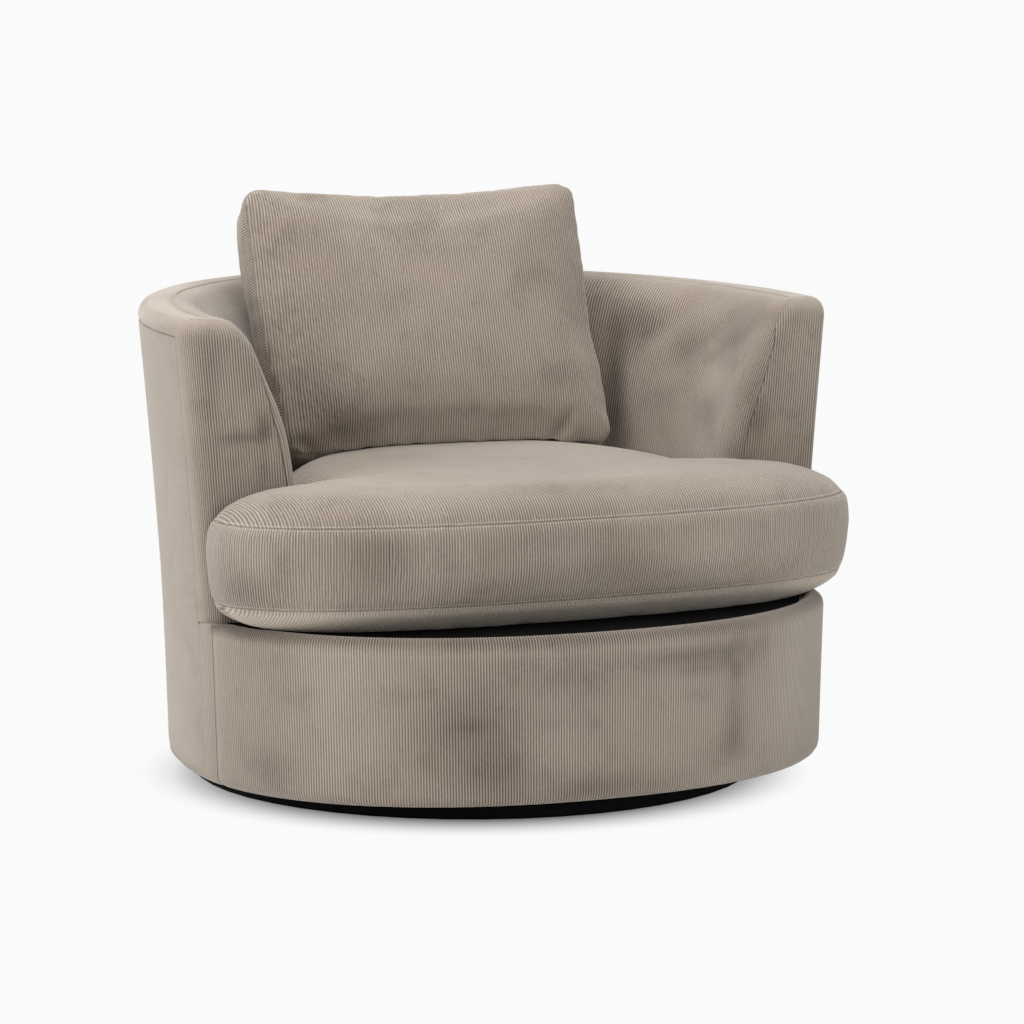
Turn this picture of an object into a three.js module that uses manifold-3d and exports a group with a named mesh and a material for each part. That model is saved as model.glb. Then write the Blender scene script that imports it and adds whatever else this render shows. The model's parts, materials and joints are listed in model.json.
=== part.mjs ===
// Swivel tub chair with a loose T-shaped seat cushion and a loose back pillow.
// Millimetres, +Z up, the sitter faces -Y. The origin is on the floor, on the swivel axis.
import * as THREE from 'three';
import { mergeVertices } from 'three/addons/utils/BufferGeometryUtils.js';
import Module from 'manifold-3d';

const wasm = await Module();
wasm.setup();

// Fits
const gap = 0.3;                     // between two pieces that touch

// Plan of the tub, measured from its widest line
const widestLineY = -90;
const hemHalfWidth = 463;
const sideFlare = 38;                // how far the rim stands out beyond the hem at the sides
const hemBackReach = 524;
const backFlare = 36;                // and at the back
const frontReach = 381;
const frontRoundShare = 2.2;         // power of the front curve, 2 would be an ellipse
const armFrontY = -155;              // face of both arm fronts

// Heights
const hemHeight = 37.6;
const deckHeight = 262;              // what the seat cushion lies on
const seatLineHeight = 420;          // below this the inside of the wall is upright
const armHeight = 675;               // rim at the arm fronts
const rimRise = 20;                  // how much higher the rim is at the back
const flareAtDeckShare = 0.19;       // how far the wall has flared out at the deck
const flareAtSeatShare = 0.45;       // and at the seat line

// Wall of the tub
const wallThickness = 149;           // at the seat, in the arms
const backExtraThickness = 38;       // added to it in the middle of the back
const bandWidth = 50;                // strip along the rim
const bandDrop = 24;                 // how far the strip comes down outside
const rimRadius = 20;
const hemRadius = 16;
const hemReturn = 34;                // cloth turned in under the bottom board
const coverThickness = 4;            // corduroy with its thin wadding
const innerFoamThickness = 36;
const armPadDepth = 14;              // padding in front of each arm front board
const armPadRadius = 12;

// Boards
const boardThickness = 18;
const bottomBoardThickness = 18;
const bottomBoardInset = 16;
const bottomBoardHoleRadius = 45;
const shellBoardThickness = 4;
const frontPanelThickness = 12;
const topRailThickness = 20;
const topRailWidth = 34;
const seatBoxSideRoom = 173;         // from the seat box out to the hem
const seatBoxFrontRoom = 111;
const seatBoxBackRoom = 164;
const ribBays = [2, 8, 13, 19];       // facets of the back that the ribs stand behind

// Seat springs and deck
const springCount = 4;
const springEdgeRoom = 79;           // from the outer springs to the outside of the seat box
const springHalfWidth = 21;
const springPasses = 14;
const wireRadius = 2;
const clipThickness = 1.2;
const clipPlay = 0.8;                // round the wire
const clipWidth = 12;
const clipFlange = 7;
const springClothThickness = 1;
const deckPadThickness = 14;
const ledgeWidth = 27;               // strip of the front cover that shows under the cushion
const ledgeRadius = 18;

// Plinth and turntable
const glideCount = 5;
const glideRadius = 17;
const glideHeight = 6;
const glideInset = 58;               // from the plinth's edge to the glides
const plinthRadius = 408;
const plinthEdge = 4;
const plateRadius = 160;
const plateThickness = 2.5;
const plateHoleRadius = 42;
const trackRadius = 122;
const trackRidgeHeight = 1.8;
const trackRidgeWidth = 4;
const ballRadius = 3.2;
const ballCount = 12;
const cageHalfWidth = 8;
const cageThickness = 1.8;
const hubRadius = 38;
const dishRise = 3.4;
const dishWidth = 10;
const screwCount = 4;
const screwCircle = 147;
const screwHeadRadius = 4.6;
const screwHeadHeight = 2.2;
const screwRadius = 2;
const screwLength = 13;
const dustCoverThickness = 0.8;
const dustCoverClearance = 8;        // round the upper plate

// Seat cushion
const cushionPlay = 8;               // between its border and the wall
const earOverhang = 17;              // how far the ears stand out beyond the hem
const earRadius = 48;
const cushionFrontReach = 196;       // from the ears' widest line to the front seam
const cushionFrontShare = 2.4;
const cushionBottomSeam = 290;
const cushionTopSeam = 405;
const cushionCrown = 48;

// Back pillow
const pillowWidth = 500;
const pillowHeight = 412;
const pillowBorder = 128;
const pillowCrown = 34;              // bulge of its front face
const pillowBackCrown = 36;
const pillowCornerRadius = 30;
const pillowDrawIn = 9;
const pillowSpread = 0.045;          // how much wider its foot is than its top, as a share
const pillowX = -4;
const pillowFrontY = 66;             // foot of its front face
const pillowFootHeight = 452;
const pillowLean = THREE.MathUtils.degToRad(20.5);
const pillowYaw = THREE.MathUtils.degToRad(-3.7);

// Zip sliders
const sliderWidth = 11;
const sliderHeight = 13;
const sliderThickness = 4;
const pullLength = 16;
const pullThickness = 1.4;
const pillowZipLength = 280;
const pillowZipAboveRim = 19;

const materials = {
  corduroy: { color: 0xa3978a, roughness: 0.95, metalness: 0 },
  foam: { color: 0xe6dfc8, roughness: 0.95, metalness: 0 },
  plywood: { color: 0xc9a877, roughness: 0.7, metalness: 0 },
  hardboard: { color: 0x8a6a4a, roughness: 0.8, metalness: 0 },
  blackPaint: { color: 0x15151a, roughness: 0.6, metalness: 0 },
  steel: { color: 0xa9adb0, roughness: 0.4, metalness: 0.9 },
  nylon: { color: 0xdedcd4, roughness: 0.6, metalness: 0 },
  blackCloth: { color: 0x1c1c1e, roughness: 0.95, metalness: 0 },
};

const lerp = THREE.MathUtils.lerp;
const chair = new THREE.Group();

// A named sub-part of the chair
function addPiece(name, geometry, material, place = [0, 0, 0]) {
  const mesh = new THREE.Mesh(geometry, new THREE.MeshStandardMaterial(materials[material]));
  mesh.name = name;
  mesh.position.set(...place);
  chair.add(mesh);
  return mesh;
}

// A closed body from vertices and faces, its faces turned outwards
function closedBody(vertices, faces) {
  let volume = 0;
  for (const [a, b, c] of faces) {
    volume += vertices[a].dot(new THREE.Vector3().crossVectors(vertices[b], vertices[c]));
  }
  const index = faces.flatMap(([a, b, c]) => (volume > 0 ? [a, b, c] : [a, c, b]));
  const geometry = new THREE.BufferGeometry().setFromPoints(vertices);
  geometry.setIndex(index);
  return geometry;
}

// Bands of faces between rings of equally many points. Each four-sided face is split from its
// lower point on one ring to its higher point on the next, so that nested walls split alike.
function ringFaces(rings) {
  const size = rings[0].length;
  const faces = [];
  for (let ring = 0; ring + 1 < rings.length; ring += 1) {
    for (let k = 0; k < size; k += 1) {
      const next = (k + 1) % size;
      const [a, b] = [ring * size + k, ring * size + next];
      if (rings[ring][next].z >= rings[ring][k].z) {
        faces.push([a, b, b + size], [a, b + size, a + size]);
      } else {
        faces.push([a, b, a + size], [b, b + size, a + size]);
      }
    }
  }
  return faces;
}

// Faces that fill a closed outline, going round the same way as its points
function capFaces(outline) {
  const turn = (a, b, c) => Math.sign((b.x - a.x) * (c.y - a.y) - (b.y - a.y) * (c.x - a.x));
  const forward = Math.sign(THREE.ShapeUtils.area(outline));
  return THREE.ShapeUtils.triangulateShape(outline, []).map(([a, b, c]) => (
    turn(outline[a], outline[b], outline[c]) === forward ? [a, b, c] : [a, c, b]
  ));
}

// A section swept through stations: section(station) lists the points of a closed outline,
// and flat(point) gives the two coordinates in which its end caps are filled in
function sweep(stations, section, flat = (p) => new THREE.Vector2(p.x, p.z)) {
  const rings = stations.map(section);
  const size = rings[0].length;
  const last = (rings.length - 1) * size;
  const faces = ringFaces(rings);
  capFaces(rings[0].map(flat)).forEach(([a, b, c]) => faces.push([c, b, a]));
  capFaces(rings[rings.length - 1].map(flat))
    .forEach(([a, b, c]) => faces.push([last + a, last + b, last + c]));
  return closedBody(rings.flat(), faces);
}

// A body of rings closed by one point at each end
function domed(rings, first, last) {
  const size = rings[0].length;
  const faces = ringFaces(rings);
  const vertices = [...rings.flat(), first, last];
  const firstIndex = rings.length * size;
  for (let k = 0; k < size; k += 1) {
    const next = (k + 1) % size;
    faces.push([firstIndex, next, k]);
    faces.push([firstIndex + 1, firstIndex - size + k, firstIndex - size + next]);
  }
  return closedBody(vertices, faces);
}

function toManifold(geometry) {
  const plain = geometry.clone();
  plain.deleteAttribute('normal');
  plain.deleteAttribute('uv');
  const merged = mergeVertices(plain);
  return new wasm.Manifold(new wasm.Mesh({
    numProp: 3,
    vertProperties: new Float32Array(merged.attributes.position.array),
    triVerts: new Uint32Array(merged.index.array),
  }));
}

function fromManifold(solid) {
  const mesh = solid.getMesh();
  const geometry = new THREE.BufferGeometry();
  geometry.setAttribute('position', new THREE.BufferAttribute(mesh.vertProperties, 3));
  geometry.setIndex(new THREE.BufferAttribute(mesh.triVerts, 1));
  return geometry;
}

function cut(geometry, tools) {
  return fromManifold(tools.reduce((solid, tool) => solid.subtract(toManifold(tool)), toManifold(geometry)));
}

function join(geometries) {
  return fromManifold(geometries.map(toManifold).reduce((sum, solid) => sum.add(solid)));
}

function upright(radius, height, bottom, sides) {
  return new THREE.CylinderGeometry(radius, radius, height, sides)
    .rotateX(Math.PI / 2).translate(0, 0, bottom + height / 2);
}

function boxBetween(low, high) {
  const size = high.map((value, k) => value - low[k]);
  const middle = high.map((value, k) => (value + low[k]) / 2);
  return new THREE.BoxGeometry(...size).translate(...middle);
}

// A revolved body: profile lists [radius, z] going once round its section
function turned(profile, sides) {
  const points = profile.map(([radius, z]) => new THREE.Vector2(radius, z));
  if (profile[0][0] !== 0) {
    points.push(points[0].clone());
  }
  const geometry = new THREE.LatheGeometry(points, sides).rotateX(Math.PI / 2);
  return fromManifold(toManifold(orient(geometry)));
}

function orient(geometry) {
  const plain = geometry.clone();
  plain.deleteAttribute('normal');
  plain.deleteAttribute('uv');
  const merged = mergeVertices(plain);
  const position = merged.attributes.position;
  const vertices = Array.from({ length: position.count }, (_, k) => (
    new THREE.Vector3().fromBufferAttribute(position, k)
  ));
  const index = merged.index.array;
  const faces = [];
  for (let k = 0; k < index.length; k += 3) {
    const [a, b, c] = [index[k], index[k + 1], index[k + 2]];
    if (a !== b && b !== c && c !== a) {
      faces.push([a, b, c]);
    }
  }
  return closedBody(vertices, faces);
}

// The rim, the ears and the seat box follow the hem
const rimHalfWidth = hemHalfWidth + sideFlare;
const rimBackReach = hemBackReach + backFlare;
const earHalfWidth = hemHalfWidth + earOverhang;
const seatBoxHalfWidth = hemHalfWidth - seatBoxSideRoom;
const seatBoxFrontY = widestLineY - frontReach + seatBoxFrontRoom;
const seatBoxBackY = widestLineY + hemBackReach - seatBoxBackRoom;

// Levels, worked out from the floor up to the board and from the deck down to the box
const plinthBottom = glideHeight + gap;
const turntableHeight = 2 * plateThickness + 2 * ballRadius + 2 * gap;
const clothUnderBoard = hemHeight + coverThickness * 0.75;
const boardBottom = clothUnderBoard + gap;
const boardTop = boardBottom + bottomBoardThickness;
const turntableTop = boardBottom - gap;
const turntableBottom = turntableTop - turntableHeight;
const plinthTop = turntableBottom - gap;
const frameBottom = boardTop + gap;
const deckPadBottom = deckHeight - deckPadThickness;
const springAxisZ = deckPadBottom - gap - clipThickness - clipPlay - wireRadius;
const boxTop = springAxisZ - wireRadius - gap;
const skinInset = coverThickness + gap;                      // just inside the covers
const shellInset = skinInset + shellBoardThickness + gap;    // just inside the shell board
const railDrop = rimRadius + coverThickness + gap;           // rail top below the rim
const railBottomDrop = railDrop + topRailThickness;
const armEndAhead = widestLineY - armFrontY;
const wallEndAhead = armEndAhead - armPadDepth - gap;        // covers stop behind the arm pads
const frameEndAhead = wallEndAhead - gap - boardThickness - gap;
const boardFrontAhead = wallEndAhead - gap;

// How far the wall has flared out at height z, in straight steps: 0 at the hem, 1 at the rim
const flareSteps = [
  [hemHeight, 0], [deckHeight, flareAtDeckShare], [seatLineHeight, flareAtSeatShare], [armHeight, 1],
];

function flare(z) {
  const above = flareSteps.findIndex(([height]) => height > z);
  const step = above < 0 ? flareSteps.length - 1 : Math.max(above, 1);
  const [[low, from], [high, to]] = [flareSteps[step - 1], flareSteps[step]];
  return lerp(from, to, (z - low) / (high - low));
}

const hemSteps = 2;
const rimSteps = 3;

// Stations round the tub. Behind the widest line they are angles, and in front of it they are
// planes square to Y, so that the wall ends flat at the arm fronts.
const backSteps = 22;

function tubStations(endAhead) {
  const planes = [wallEndAhead, frameEndAhead, frameEndAhead / 2].filter((ahead) => ahead <= endAhead);
  const right = planes.map((ahead) => ({ side: 1, ahead }));
  const back = Array.from({ length: backSteps + 1 }, (_, k) => ({ angle: Math.PI * k / backSteps }));
  const left = planes.map((ahead) => ({ side: -1, ahead })).reverse();
  return [...right, ...back, ...left];
}

function halfWidthAhead(ahead, z) {
  const width = lerp(hemHalfWidth, rimHalfWidth, flare(z));
  return width * (1 - (ahead / frontReach) ** frontRoundShare) ** (1 / frontRoundShare);
}

// A point of the wall: inset is how far it lies inside the outer surface
function tubPoint(station, inset, z) {
  if (station.ahead !== undefined) {
    const x = halfWidthAhead(station.ahead, z) - inset;
    return new THREE.Vector3(station.side * x, widestLineY - station.ahead, z);
  }
  const width = lerp(hemHalfWidth, rimHalfWidth, flare(z));
  const reach = lerp(hemBackReach, rimBackReach, flare(z));
  const normal = new THREE.Vector2(Math.cos(station.angle) / width, Math.sin(station.angle) / reach).normalize();
  return new THREE.Vector3(
    width * Math.cos(station.angle) - inset * normal.x,
    widestLineY + reach * Math.sin(station.angle) - inset * normal.y,
    z,
  );
}

// Rim height at a station
function rimHeight(station) {
  const y = tubPoint(station, 0, armHeight).y;
  const share = (y - armFrontY) / (widestLineY + rimBackReach - armFrontY);
  return armHeight + rimRise * share;
}

// Full thickness of the wall at a station, at seat level
function fullThickness(station) {
  const backness = station.angle === undefined ? 0 : Math.sin(station.angle) ** 2;
  return wallThickness + backExtraThickness * backness;
}

// The bulge inside the wall: shares of the height from the seat line to the rim, and of the way
// in thickness from the seat's to the band's
const innerShares = [
  [1, 1], [0.985, 0.74], [0.88, 0.49], [0.74, 0.36], [0.55, 0.2], [0.3, 0.05], [0, 0],
];

// Share of the height from the seat line to the rim
function rise(station, z) {
  return THREE.MathUtils.clamp((z - seatLineHeight) / (rimHeight(station) - seatLineHeight), 0, 1);
}

// Inset of the upholstered inner surface at height z
function innerInset(station, z) {
  const share = rise(station, z);
  const step = Math.max(innerShares.findIndex(([value]) => value <= share), 1);
  const [[high, to], [low, from]] = [innerShares[step - 1], innerShares[step]];
  return lerp(fullThickness(station), bandWidth, lerp(from, to, (share - low) / (high - low)));
}

// Heights of the inner surface's points from a top down to the deck, without those that the top
// takes the place of
function innerHeights(station, top, replaced = 1) {
  const shares = innerShares.slice(replaced).map(([share]) => share);
  return [top, ...shares.map((share) => lerp(seatLineHeight, rimHeight(station), share)), deckHeight];
}

// Levels at which every outer layer of the wall has its points
const frameTop = (station) => rimHeight(station) - railBottomDrop;
const outerLevels = (station) => [deckHeight, seatLineHeight, frameTop(station)];

function wall(name, material, endAhead, section) {
  const geometry = sweep(
    tubStations(endAhead),
    (station) => section(station).map(([inset, z]) => tubPoint(station, inset, z)),
  );
  return addPiece(name, geometry, material);
}

// Quarter circle from straight up the outside to level at the top, in [inset, drop] pairs
function edgeArc(radius, steps) {
  return Array.from({ length: steps + 1 }, (_, k) => {
    const turn = Math.PI / 2 * k / steps;
    return [radius * (1 - Math.cos(turn)), radius * (1 - Math.sin(turn))];
  });
}

// Inset of the inner board's hidden face
function innerBoardInset(station, z) {
  return innerInset(station, z) - coverThickness - gap - innerFoamThickness - gap;
}

// Plinth: a round board with eased edges on five glides
const pilotRadius = screwRadius + gap;
const lowerScrewPlaces = ringPlaces(screwCount, screwCircle, Math.PI / screwCount);
const upperScrewPlaces = ringPlaces(screwCount, screwCircle, 0);

function ringPlaces(count, radius, start) {
  return Array.from({ length: count }, (_, k) => {
    const turn = start + 2 * Math.PI * k / count;
    return [radius * Math.cos(turn), radius * Math.sin(turn)];
  });
}

const plinthBoard = turned([
  [0, plinthBottom],
  [plinthRadius - plinthEdge, plinthBottom],
  [plinthRadius, plinthBottom + plinthEdge],
  [plinthRadius, plinthTop - plinthEdge],
  [plinthRadius - plinthEdge, plinthTop],
  [0, plinthTop],
], 48);
const lowerPilots = lowerScrewPlaces.map(([x, y]) => (
  upright(pilotRadius, screwLength, plinthTop - screwLength + gap, 8).translate(x, y, 0)
));
addPiece('plinth_board', cut(plinthBoard, lowerPilots), 'blackPaint');

const glideProfile = [
  [0, 0],
  [glideRadius - glideHeight / 3, 0],
  [glideRadius, glideHeight / 3],
  [glideRadius, glideHeight],
  [0, glideHeight],
];
ringPlaces(glideCount, plinthRadius - glideInset, Math.PI / 2).forEach(([x, y], k) => {
  addPiece(`floor_glide_${k + 1}`, turned(glideProfile, 14), 'nylon', [x, y, 0]);
});

// Turntable: two plates with ridged ball tracks, held together by a swaged hub
const lowerTop = turntableBottom + plateThickness;
const upperBottom = turntableTop - plateThickness;
const trackOut = trackRadius + ballRadius + gap;
const trackIn = trackRadius - ballRadius - gap;
const dishTop = turntableBottom + dishRise + plateThickness;
const lowerPlate = turned([
  [plateHoleRadius, turntableBottom + dishRise],
  [plateHoleRadius + dishWidth, turntableBottom + dishRise],
  [plateHoleRadius + dishWidth + dishRise, turntableBottom],
  [plateRadius, turntableBottom],
  [plateRadius, lowerTop],
  [trackOut + trackRidgeWidth, lowerTop],
  [trackOut + trackRidgeWidth / 2, lowerTop + trackRidgeHeight],
  [trackOut, lowerTop],
  [trackIn, lowerTop],
  [trackIn - trackRidgeWidth / 2, lowerTop + trackRidgeHeight],
  [trackIn - trackRidgeWidth, lowerTop],
  [plateHoleRadius + dishWidth + dishRise, lowerTop],
  [plateHoleRadius + dishWidth, dishTop],
  [plateHoleRadius, dishTop],
], 36);
const plateHoles = (places) => places.map(([x, y]) => (
  upright(pilotRadius, turntableHeight, turntableBottom, 8).translate(x, y, 0)
));
addPiece('turntable_lower_plate', cut(lowerPlate, plateHoles(lowerScrewPlaces)), 'steel');

const hubFlare = plateHoleRadius + dishWidth / 2;
const hubFoot = turntableBottom + gap;
const upperPlate = turned([
  [hubRadius - plateThickness, hubFoot],
  [hubFlare, hubFoot],
  [hubFlare, hubFoot + dishRise - 2 * gap],
  [hubRadius, hubFoot + dishRise - 2 * gap],
  [hubRadius, upperBottom],
  [trackIn - trackRidgeWidth, upperBottom],
  [trackIn - trackRidgeWidth / 2, upperBottom - trackRidgeHeight],
  [trackIn, upperBottom],
  [trackOut, upperBottom],
  [trackOut + trackRidgeWidth / 2, upperBottom - trackRidgeHeight],
  [trackOut + trackRidgeWidth, upperBottom],
  [plateRadius, upperBottom],
  [plateRadius, turntableTop],
  [hubRadius - plateThickness, turntableTop],
], 36);
addPiece('turntable_upper_plate', cut(upperPlate, plateHoles(upperScrewPlaces)), 'steel');

const ballHeight = (turntableBottom + turntableTop) / 2;
const cageRing = turned([
  [trackRadius - cageHalfWidth, ballHeight - cageThickness / 2],
  [trackRadius + cageHalfWidth, ballHeight - cageThickness / 2],
  [trackRadius + cageHalfWidth, ballHeight + cageThickness / 2],
  [trackRadius - cageHalfWidth, ballHeight + cageThickness / 2],
], 36);
const balls = ringPlaces(ballCount, trackRadius, 0).map(([x, y]) => (
  new THREE.SphereGeometry(ballRadius, 8, 6).rotateX(Math.PI / 2).translate(x, y, ballHeight)
));
addPiece('ball_cage', join([cageRing, ...balls]), 'steel');

// Pan-head screws: the lower ones go down into the plinth, the upper ones up into the board
const screwProfile = [
  [0, -screwLength + plateThickness + 2 * gap],
  [screwRadius, -screwLength + plateThickness + 3 * gap],
  [screwRadius, 0],
  [screwHeadRadius, 0],
  [screwHeadRadius, screwHeadHeight * 0.6],
  [screwHeadRadius * 0.7, screwHeadHeight],
  [0, screwHeadHeight],
];
lowerScrewPlaces.forEach(([x, y], k) => {
  addPiece(`lower_plate_screw_${k + 1}`, turned(screwProfile, 8), 'steel', [x, y, lowerTop + gap]);
});
upperScrewPlaces.forEach(([x, y], k) => {
  const screw = addPiece(`upper_plate_screw_${k + 1}`, turned(screwProfile, 8), 'steel', [x, y, upperBottom - gap]);
  screw.rotation.x = Math.PI;
});

// Closed plan of the whole body at one height, walls and front curve together
const frontSteps = 12;
const frontCurveStart = THREE.MathUtils.degToRad(22);

function frontStations(endAhead) {
  const square = [endAhead, (endAhead + armEndAhead) / 2, armEndAhead];
  const sweepAngle = Math.PI - 2 * frontCurveStart;
  const curve = Array.from({ length: frontSteps + 1 }, (_, k) => (
    { bow: frontCurveStart + sweepAngle * k / frontSteps }
  ));
  return [
    ...square.map((ahead) => ({ side: -1, ahead })),
    ...curve,
    ...square.reverse().map((ahead) => ({ side: 1, ahead })),
  ];
}

// A point of the bowed front, counted from the left arm round to the right one
function frontPoint(station, inset, z) {
  if (station.bow === undefined) {
    return tubPoint(station, inset, z);
  }
  const side = -Math.sign(Math.cos(station.bow));
  const across = Math.abs(Math.cos(station.bow)) ** (2 / frontRoundShare);
  const out = Math.sin(station.bow) ** (2 / frontRoundShare);
  const normal = new THREE.Vector2(
    side * across ** (frontRoundShare - 1) / hemHalfWidth,
    -(out ** (frontRoundShare - 1)) / frontReach,
  ).normalize();
  return new THREE.Vector3(
    side * across * hemHalfWidth - inset * normal.x,
    widestLineY - out * frontReach - inset * normal.y,
    z,
  );
}

function planOutline(inset, z) {
  const back = tubStations(frameEndAhead).map((station) => tubPoint(station, inset, z));
  const front = frontStations(wallEndAhead).map((station) => frontPoint(station, inset, z));
  return [...back, ...front];
}

// A flat board: outline points, between two heights, with round holes
function board(outline, bottom, thickness, holes = []) {
  const shape = new THREE.Shape(outline.map((p) => new THREE.Vector2(p.x, p.y)));
  holes.forEach(([x, y, radius]) => {
    const hole = new THREE.Path();
    hole.absarc(x, y, radius, 0, 2 * Math.PI, true);
    shape.holes.push(hole);
  });
  return new THREE.ExtrudeGeometry(shape, { depth: thickness, bevelEnabled: false })
    .translate(0, 0, bottom);
}

const boardPilots = upperScrewPlaces.map(([x, y]) => [x, y, pilotRadius]);
const bottomBoardPlan = planOutline(bottomBoardInset, boardBottom);
addPiece('bottom_board', cut(
  board(bottomBoardPlan, boardBottom, bottomBoardThickness, [[0, 0, bottomBoardHoleRadius]]),
  boardPilots.map(([x, y, radius]) => upright(radius, screwLength, boardBottom - gap, 8).translate(x, y, 0)),
), 'plywood');

addPiece('dust_cover', board(
  planOutline(hemReturn + gap, hemHeight),
  boardBottom - gap - dustCoverThickness,
  dustCoverThickness,
  [[0, 0, plateRadius + dustCoverClearance]],
), 'blackCloth');

// Seat box: four upright boards under the springs
const boxHeights = [frameBottom, boxTop];
const boxFrontInnerY = seatBoxFrontY + boardThickness;
const boxBackInnerY = seatBoxBackY - boardThickness;

function boxBoard(name, x, y) {
  addPiece(name, boxBetween([x[0], y[0], boxHeights[0]], [x[1], y[1], boxHeights[1]]), 'plywood');
}

const boxSpan = [-seatBoxHalfWidth, seatBoxHalfWidth];
const boxSideSpan = [boxFrontInnerY + gap, boxBackInnerY - gap];
boxBoard('seat_box_front', boxSpan, [seatBoxFrontY, boxFrontInnerY]);
boxBoard('seat_box_back', boxSpan, [boxBackInnerY, seatBoxBackY]);
boxBoard('seat_box_left', [-seatBoxHalfWidth, boardThickness - seatBoxHalfWidth], boxSideSpan);
boxBoard('seat_box_right', [seatBoxHalfWidth - boardThickness, seatBoxHalfWidth], boxSideSpan);

// Heights of the inner board from its top, under the rail, down to the seat line
const innerBoardHeights = (station) => innerHeights(station, frameTop(station) - gap, 3);

// Shell ribs: upright boards cut to the hollow of the wall, which carry both shell boards and the
// rail. Each stands behind the middle of one facet of the back.
ribBays.forEach((bay, k) => {
  const edge = (step) => {
    const station = { angle: Math.PI * step / backSteps };
    const heights = [...innerBoardHeights(station), frameBottom];
    const outer = heights.map((z) => tubPoint(station, shellInset, z));
    const inner = heights
      .map((z) => tubPoint(station, innerBoardInset(station, z) - shellBoardThickness - gap, z));
    return [...outer, ...inner.reverse()];
  };
  const [from, to] = [edge(bay), edge(bay + 1)];
  const facet = to[0].clone().sub(from[0]).normalize();
  const flat = (p) => new THREE.Vector2(p.x * facet.y - p.y * facet.x, p.z);
  const faces = [-1, 1].map((side) => from.map((p, i) => (
    p.clone().lerp(to[i], 0.5 + side * boardThickness / 2 / p.distanceTo(to[i]))
  )));
  addPiece(`shell_rib_${k + 1}`, sweep(faces, (ring) => ring, flat), 'plywood');
});

// Outline of an arm's front in a plane ahead of the widest line, drawn in by an inset
function armOutline(side, ahead, inset, bottom) {
  const station = { side, ahead };
  const rim = rimHeight(station);
  const lines = outerLevels(station).filter((z) => z > bottom + armPadRadius);
  const outer = [bottom + inset, ...lines].map((z) => [inset, z]);
  const corner = edgeArc(rimRadius - inset, rimSteps).map(([d, drop]) => [d + inset, rim - inset - drop]);
  const top = [[bandWidth - inset / 2, rim - inset]];
  const inner = innerHeights(station, rim).slice(1)
    .filter((z) => z > bottom + armPadRadius)
    .map((z) => [innerInset(station, z) - inset, z - inset * rise(station, z)]);
  const foot = [[fullThickness(station) - inset, bottom + inset]];
  return [...outer, ...corner, ...top, ...inner, ...foot].map(([d, z]) => tubPoint(station, d, z));
}

// Arm front boards and the padded covers in front of them
const frontBoardPlaces = [boardFrontAhead, boardFrontAhead - boardThickness].map((ahead) => [ahead, skinInset]);
const padBottom = deckHeight + gap;
const padSteps = 3;
const padPlaces = [
  [wallEndAhead + gap, 0],
  ...Array.from({ length: padSteps + 1 }, (_, k) => {
    const turn = Math.PI / 2 * k / padSteps;
    return [armEndAhead - armPadRadius * (1 - Math.sin(turn)), armPadRadius * (1 - Math.cos(turn))];
  }),
].reverse();

[['right', 1], ['left', -1]].forEach(([label, side]) => {
  const ordered = (places) => (side > 0 ? places : [...places].reverse());
  addPiece(`arm_front_board_${label}`, sweep(
    ordered(frontBoardPlaces),
    ([ahead, inset]) => armOutline(side, ahead, inset, frameBottom - skinInset),
  ), 'plywood');
  addPiece(`arm_front_cover_${label}`, sweep(
    ordered(padPlaces),
    ([ahead, inset]) => armOutline(side, ahead, inset, padBottom),
  ), 'corduroy');
});

// Outer shell board, inner board and top rail
wall('shell_board', 'hardboard', frameEndAhead, (station) => {
  const top = rimHeight(station) - railDrop;
  const heights = [frameBottom, ...outerLevels(station), top];
  const outside = heights.map((z) => [skinInset, z]);
  const inside = heights.map((z) => [skinInset + shellBoardThickness, z]);
  return [...outside, ...inside.reverse()];
});

wall('inner_board', 'hardboard', frameEndAhead, (station) => {
  const heights = [...innerBoardHeights(station), deckPadBottom + gap];
  const hidden = heights.map((z) => [innerBoardInset(station, z) - shellBoardThickness, z]);
  const shown = heights.map((z) => [innerBoardInset(station, z), z]);
  return [...hidden, ...shown.reverse()];
});

wall('top_rail', 'plywood', frameEndAhead, (station) => {
  const top = rimHeight(station) - railDrop;
  const bottom = frameTop(station);
  return [
    [shellInset, bottom],
    [shellInset, top],
    [shellInset + topRailWidth, top],
    [shellInset + topRailWidth, bottom],
  ];
});

// Foam wrapped over the rail and down the inside of the wall
const railEdge = shellInset + topRailWidth + gap;
wall('arm_back_foam', 'foam', frameEndAhead, (station) => {
  const rim = rimHeight(station);
  const foamTop = rim - skinInset - gap;
  const corner = edgeArc(rimRadius - skinInset, rimSteps).map(([d, drop]) => [d + skinInset, foamTop - drop]);
  const railTop = rim - railDrop + gap;
  const face = innerHeights(station, foamTop)
    .map((z) => [innerInset(station, z) - skinInset, z - 2 * gap * rise(station, z)]);
  face[0][0] = bandWidth - gap;
  const lining = [...innerBoardHeights(station), deckPadBottom + gap].reverse()
    .map((z) => [innerBoardInset(station, z) + gap, z]);
  const step = frameTop(station);
  return [
    [skinInset, railTop],
    ...corner,
    ...face,
    [fullThickness(station) - skinInset, deckPadBottom + gap],
    ...lining,
    [lining[lining.length - 1][0], step],
    [railEdge, step],
    [railEdge, railTop],
  ];
});

// Covers of the wall
wall('outer_cover', 'corduroy', wallEndAhead, (station) => {
  const top = rimHeight(station) - bandDrop - gap;
  const hem = edgeArc(hemRadius, hemSteps).map(([d, up]) => [d, hemHeight + up]).reverse();
  const lining = edgeArc(hemRadius - coverThickness, hemSteps)
    .map(([d, up]) => [d + coverThickness, clothUnderBoard + up]);
  const heights = [...outerLevels(station), top];
  return [
    [hemReturn, hemHeight],
    ...hem,
    ...heights.map((z) => [0, z]),
    ...heights.map((z) => [coverThickness, z]).reverse(),
    ...lining,
    [hemReturn, clothUnderBoard],
  ];
});

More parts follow.
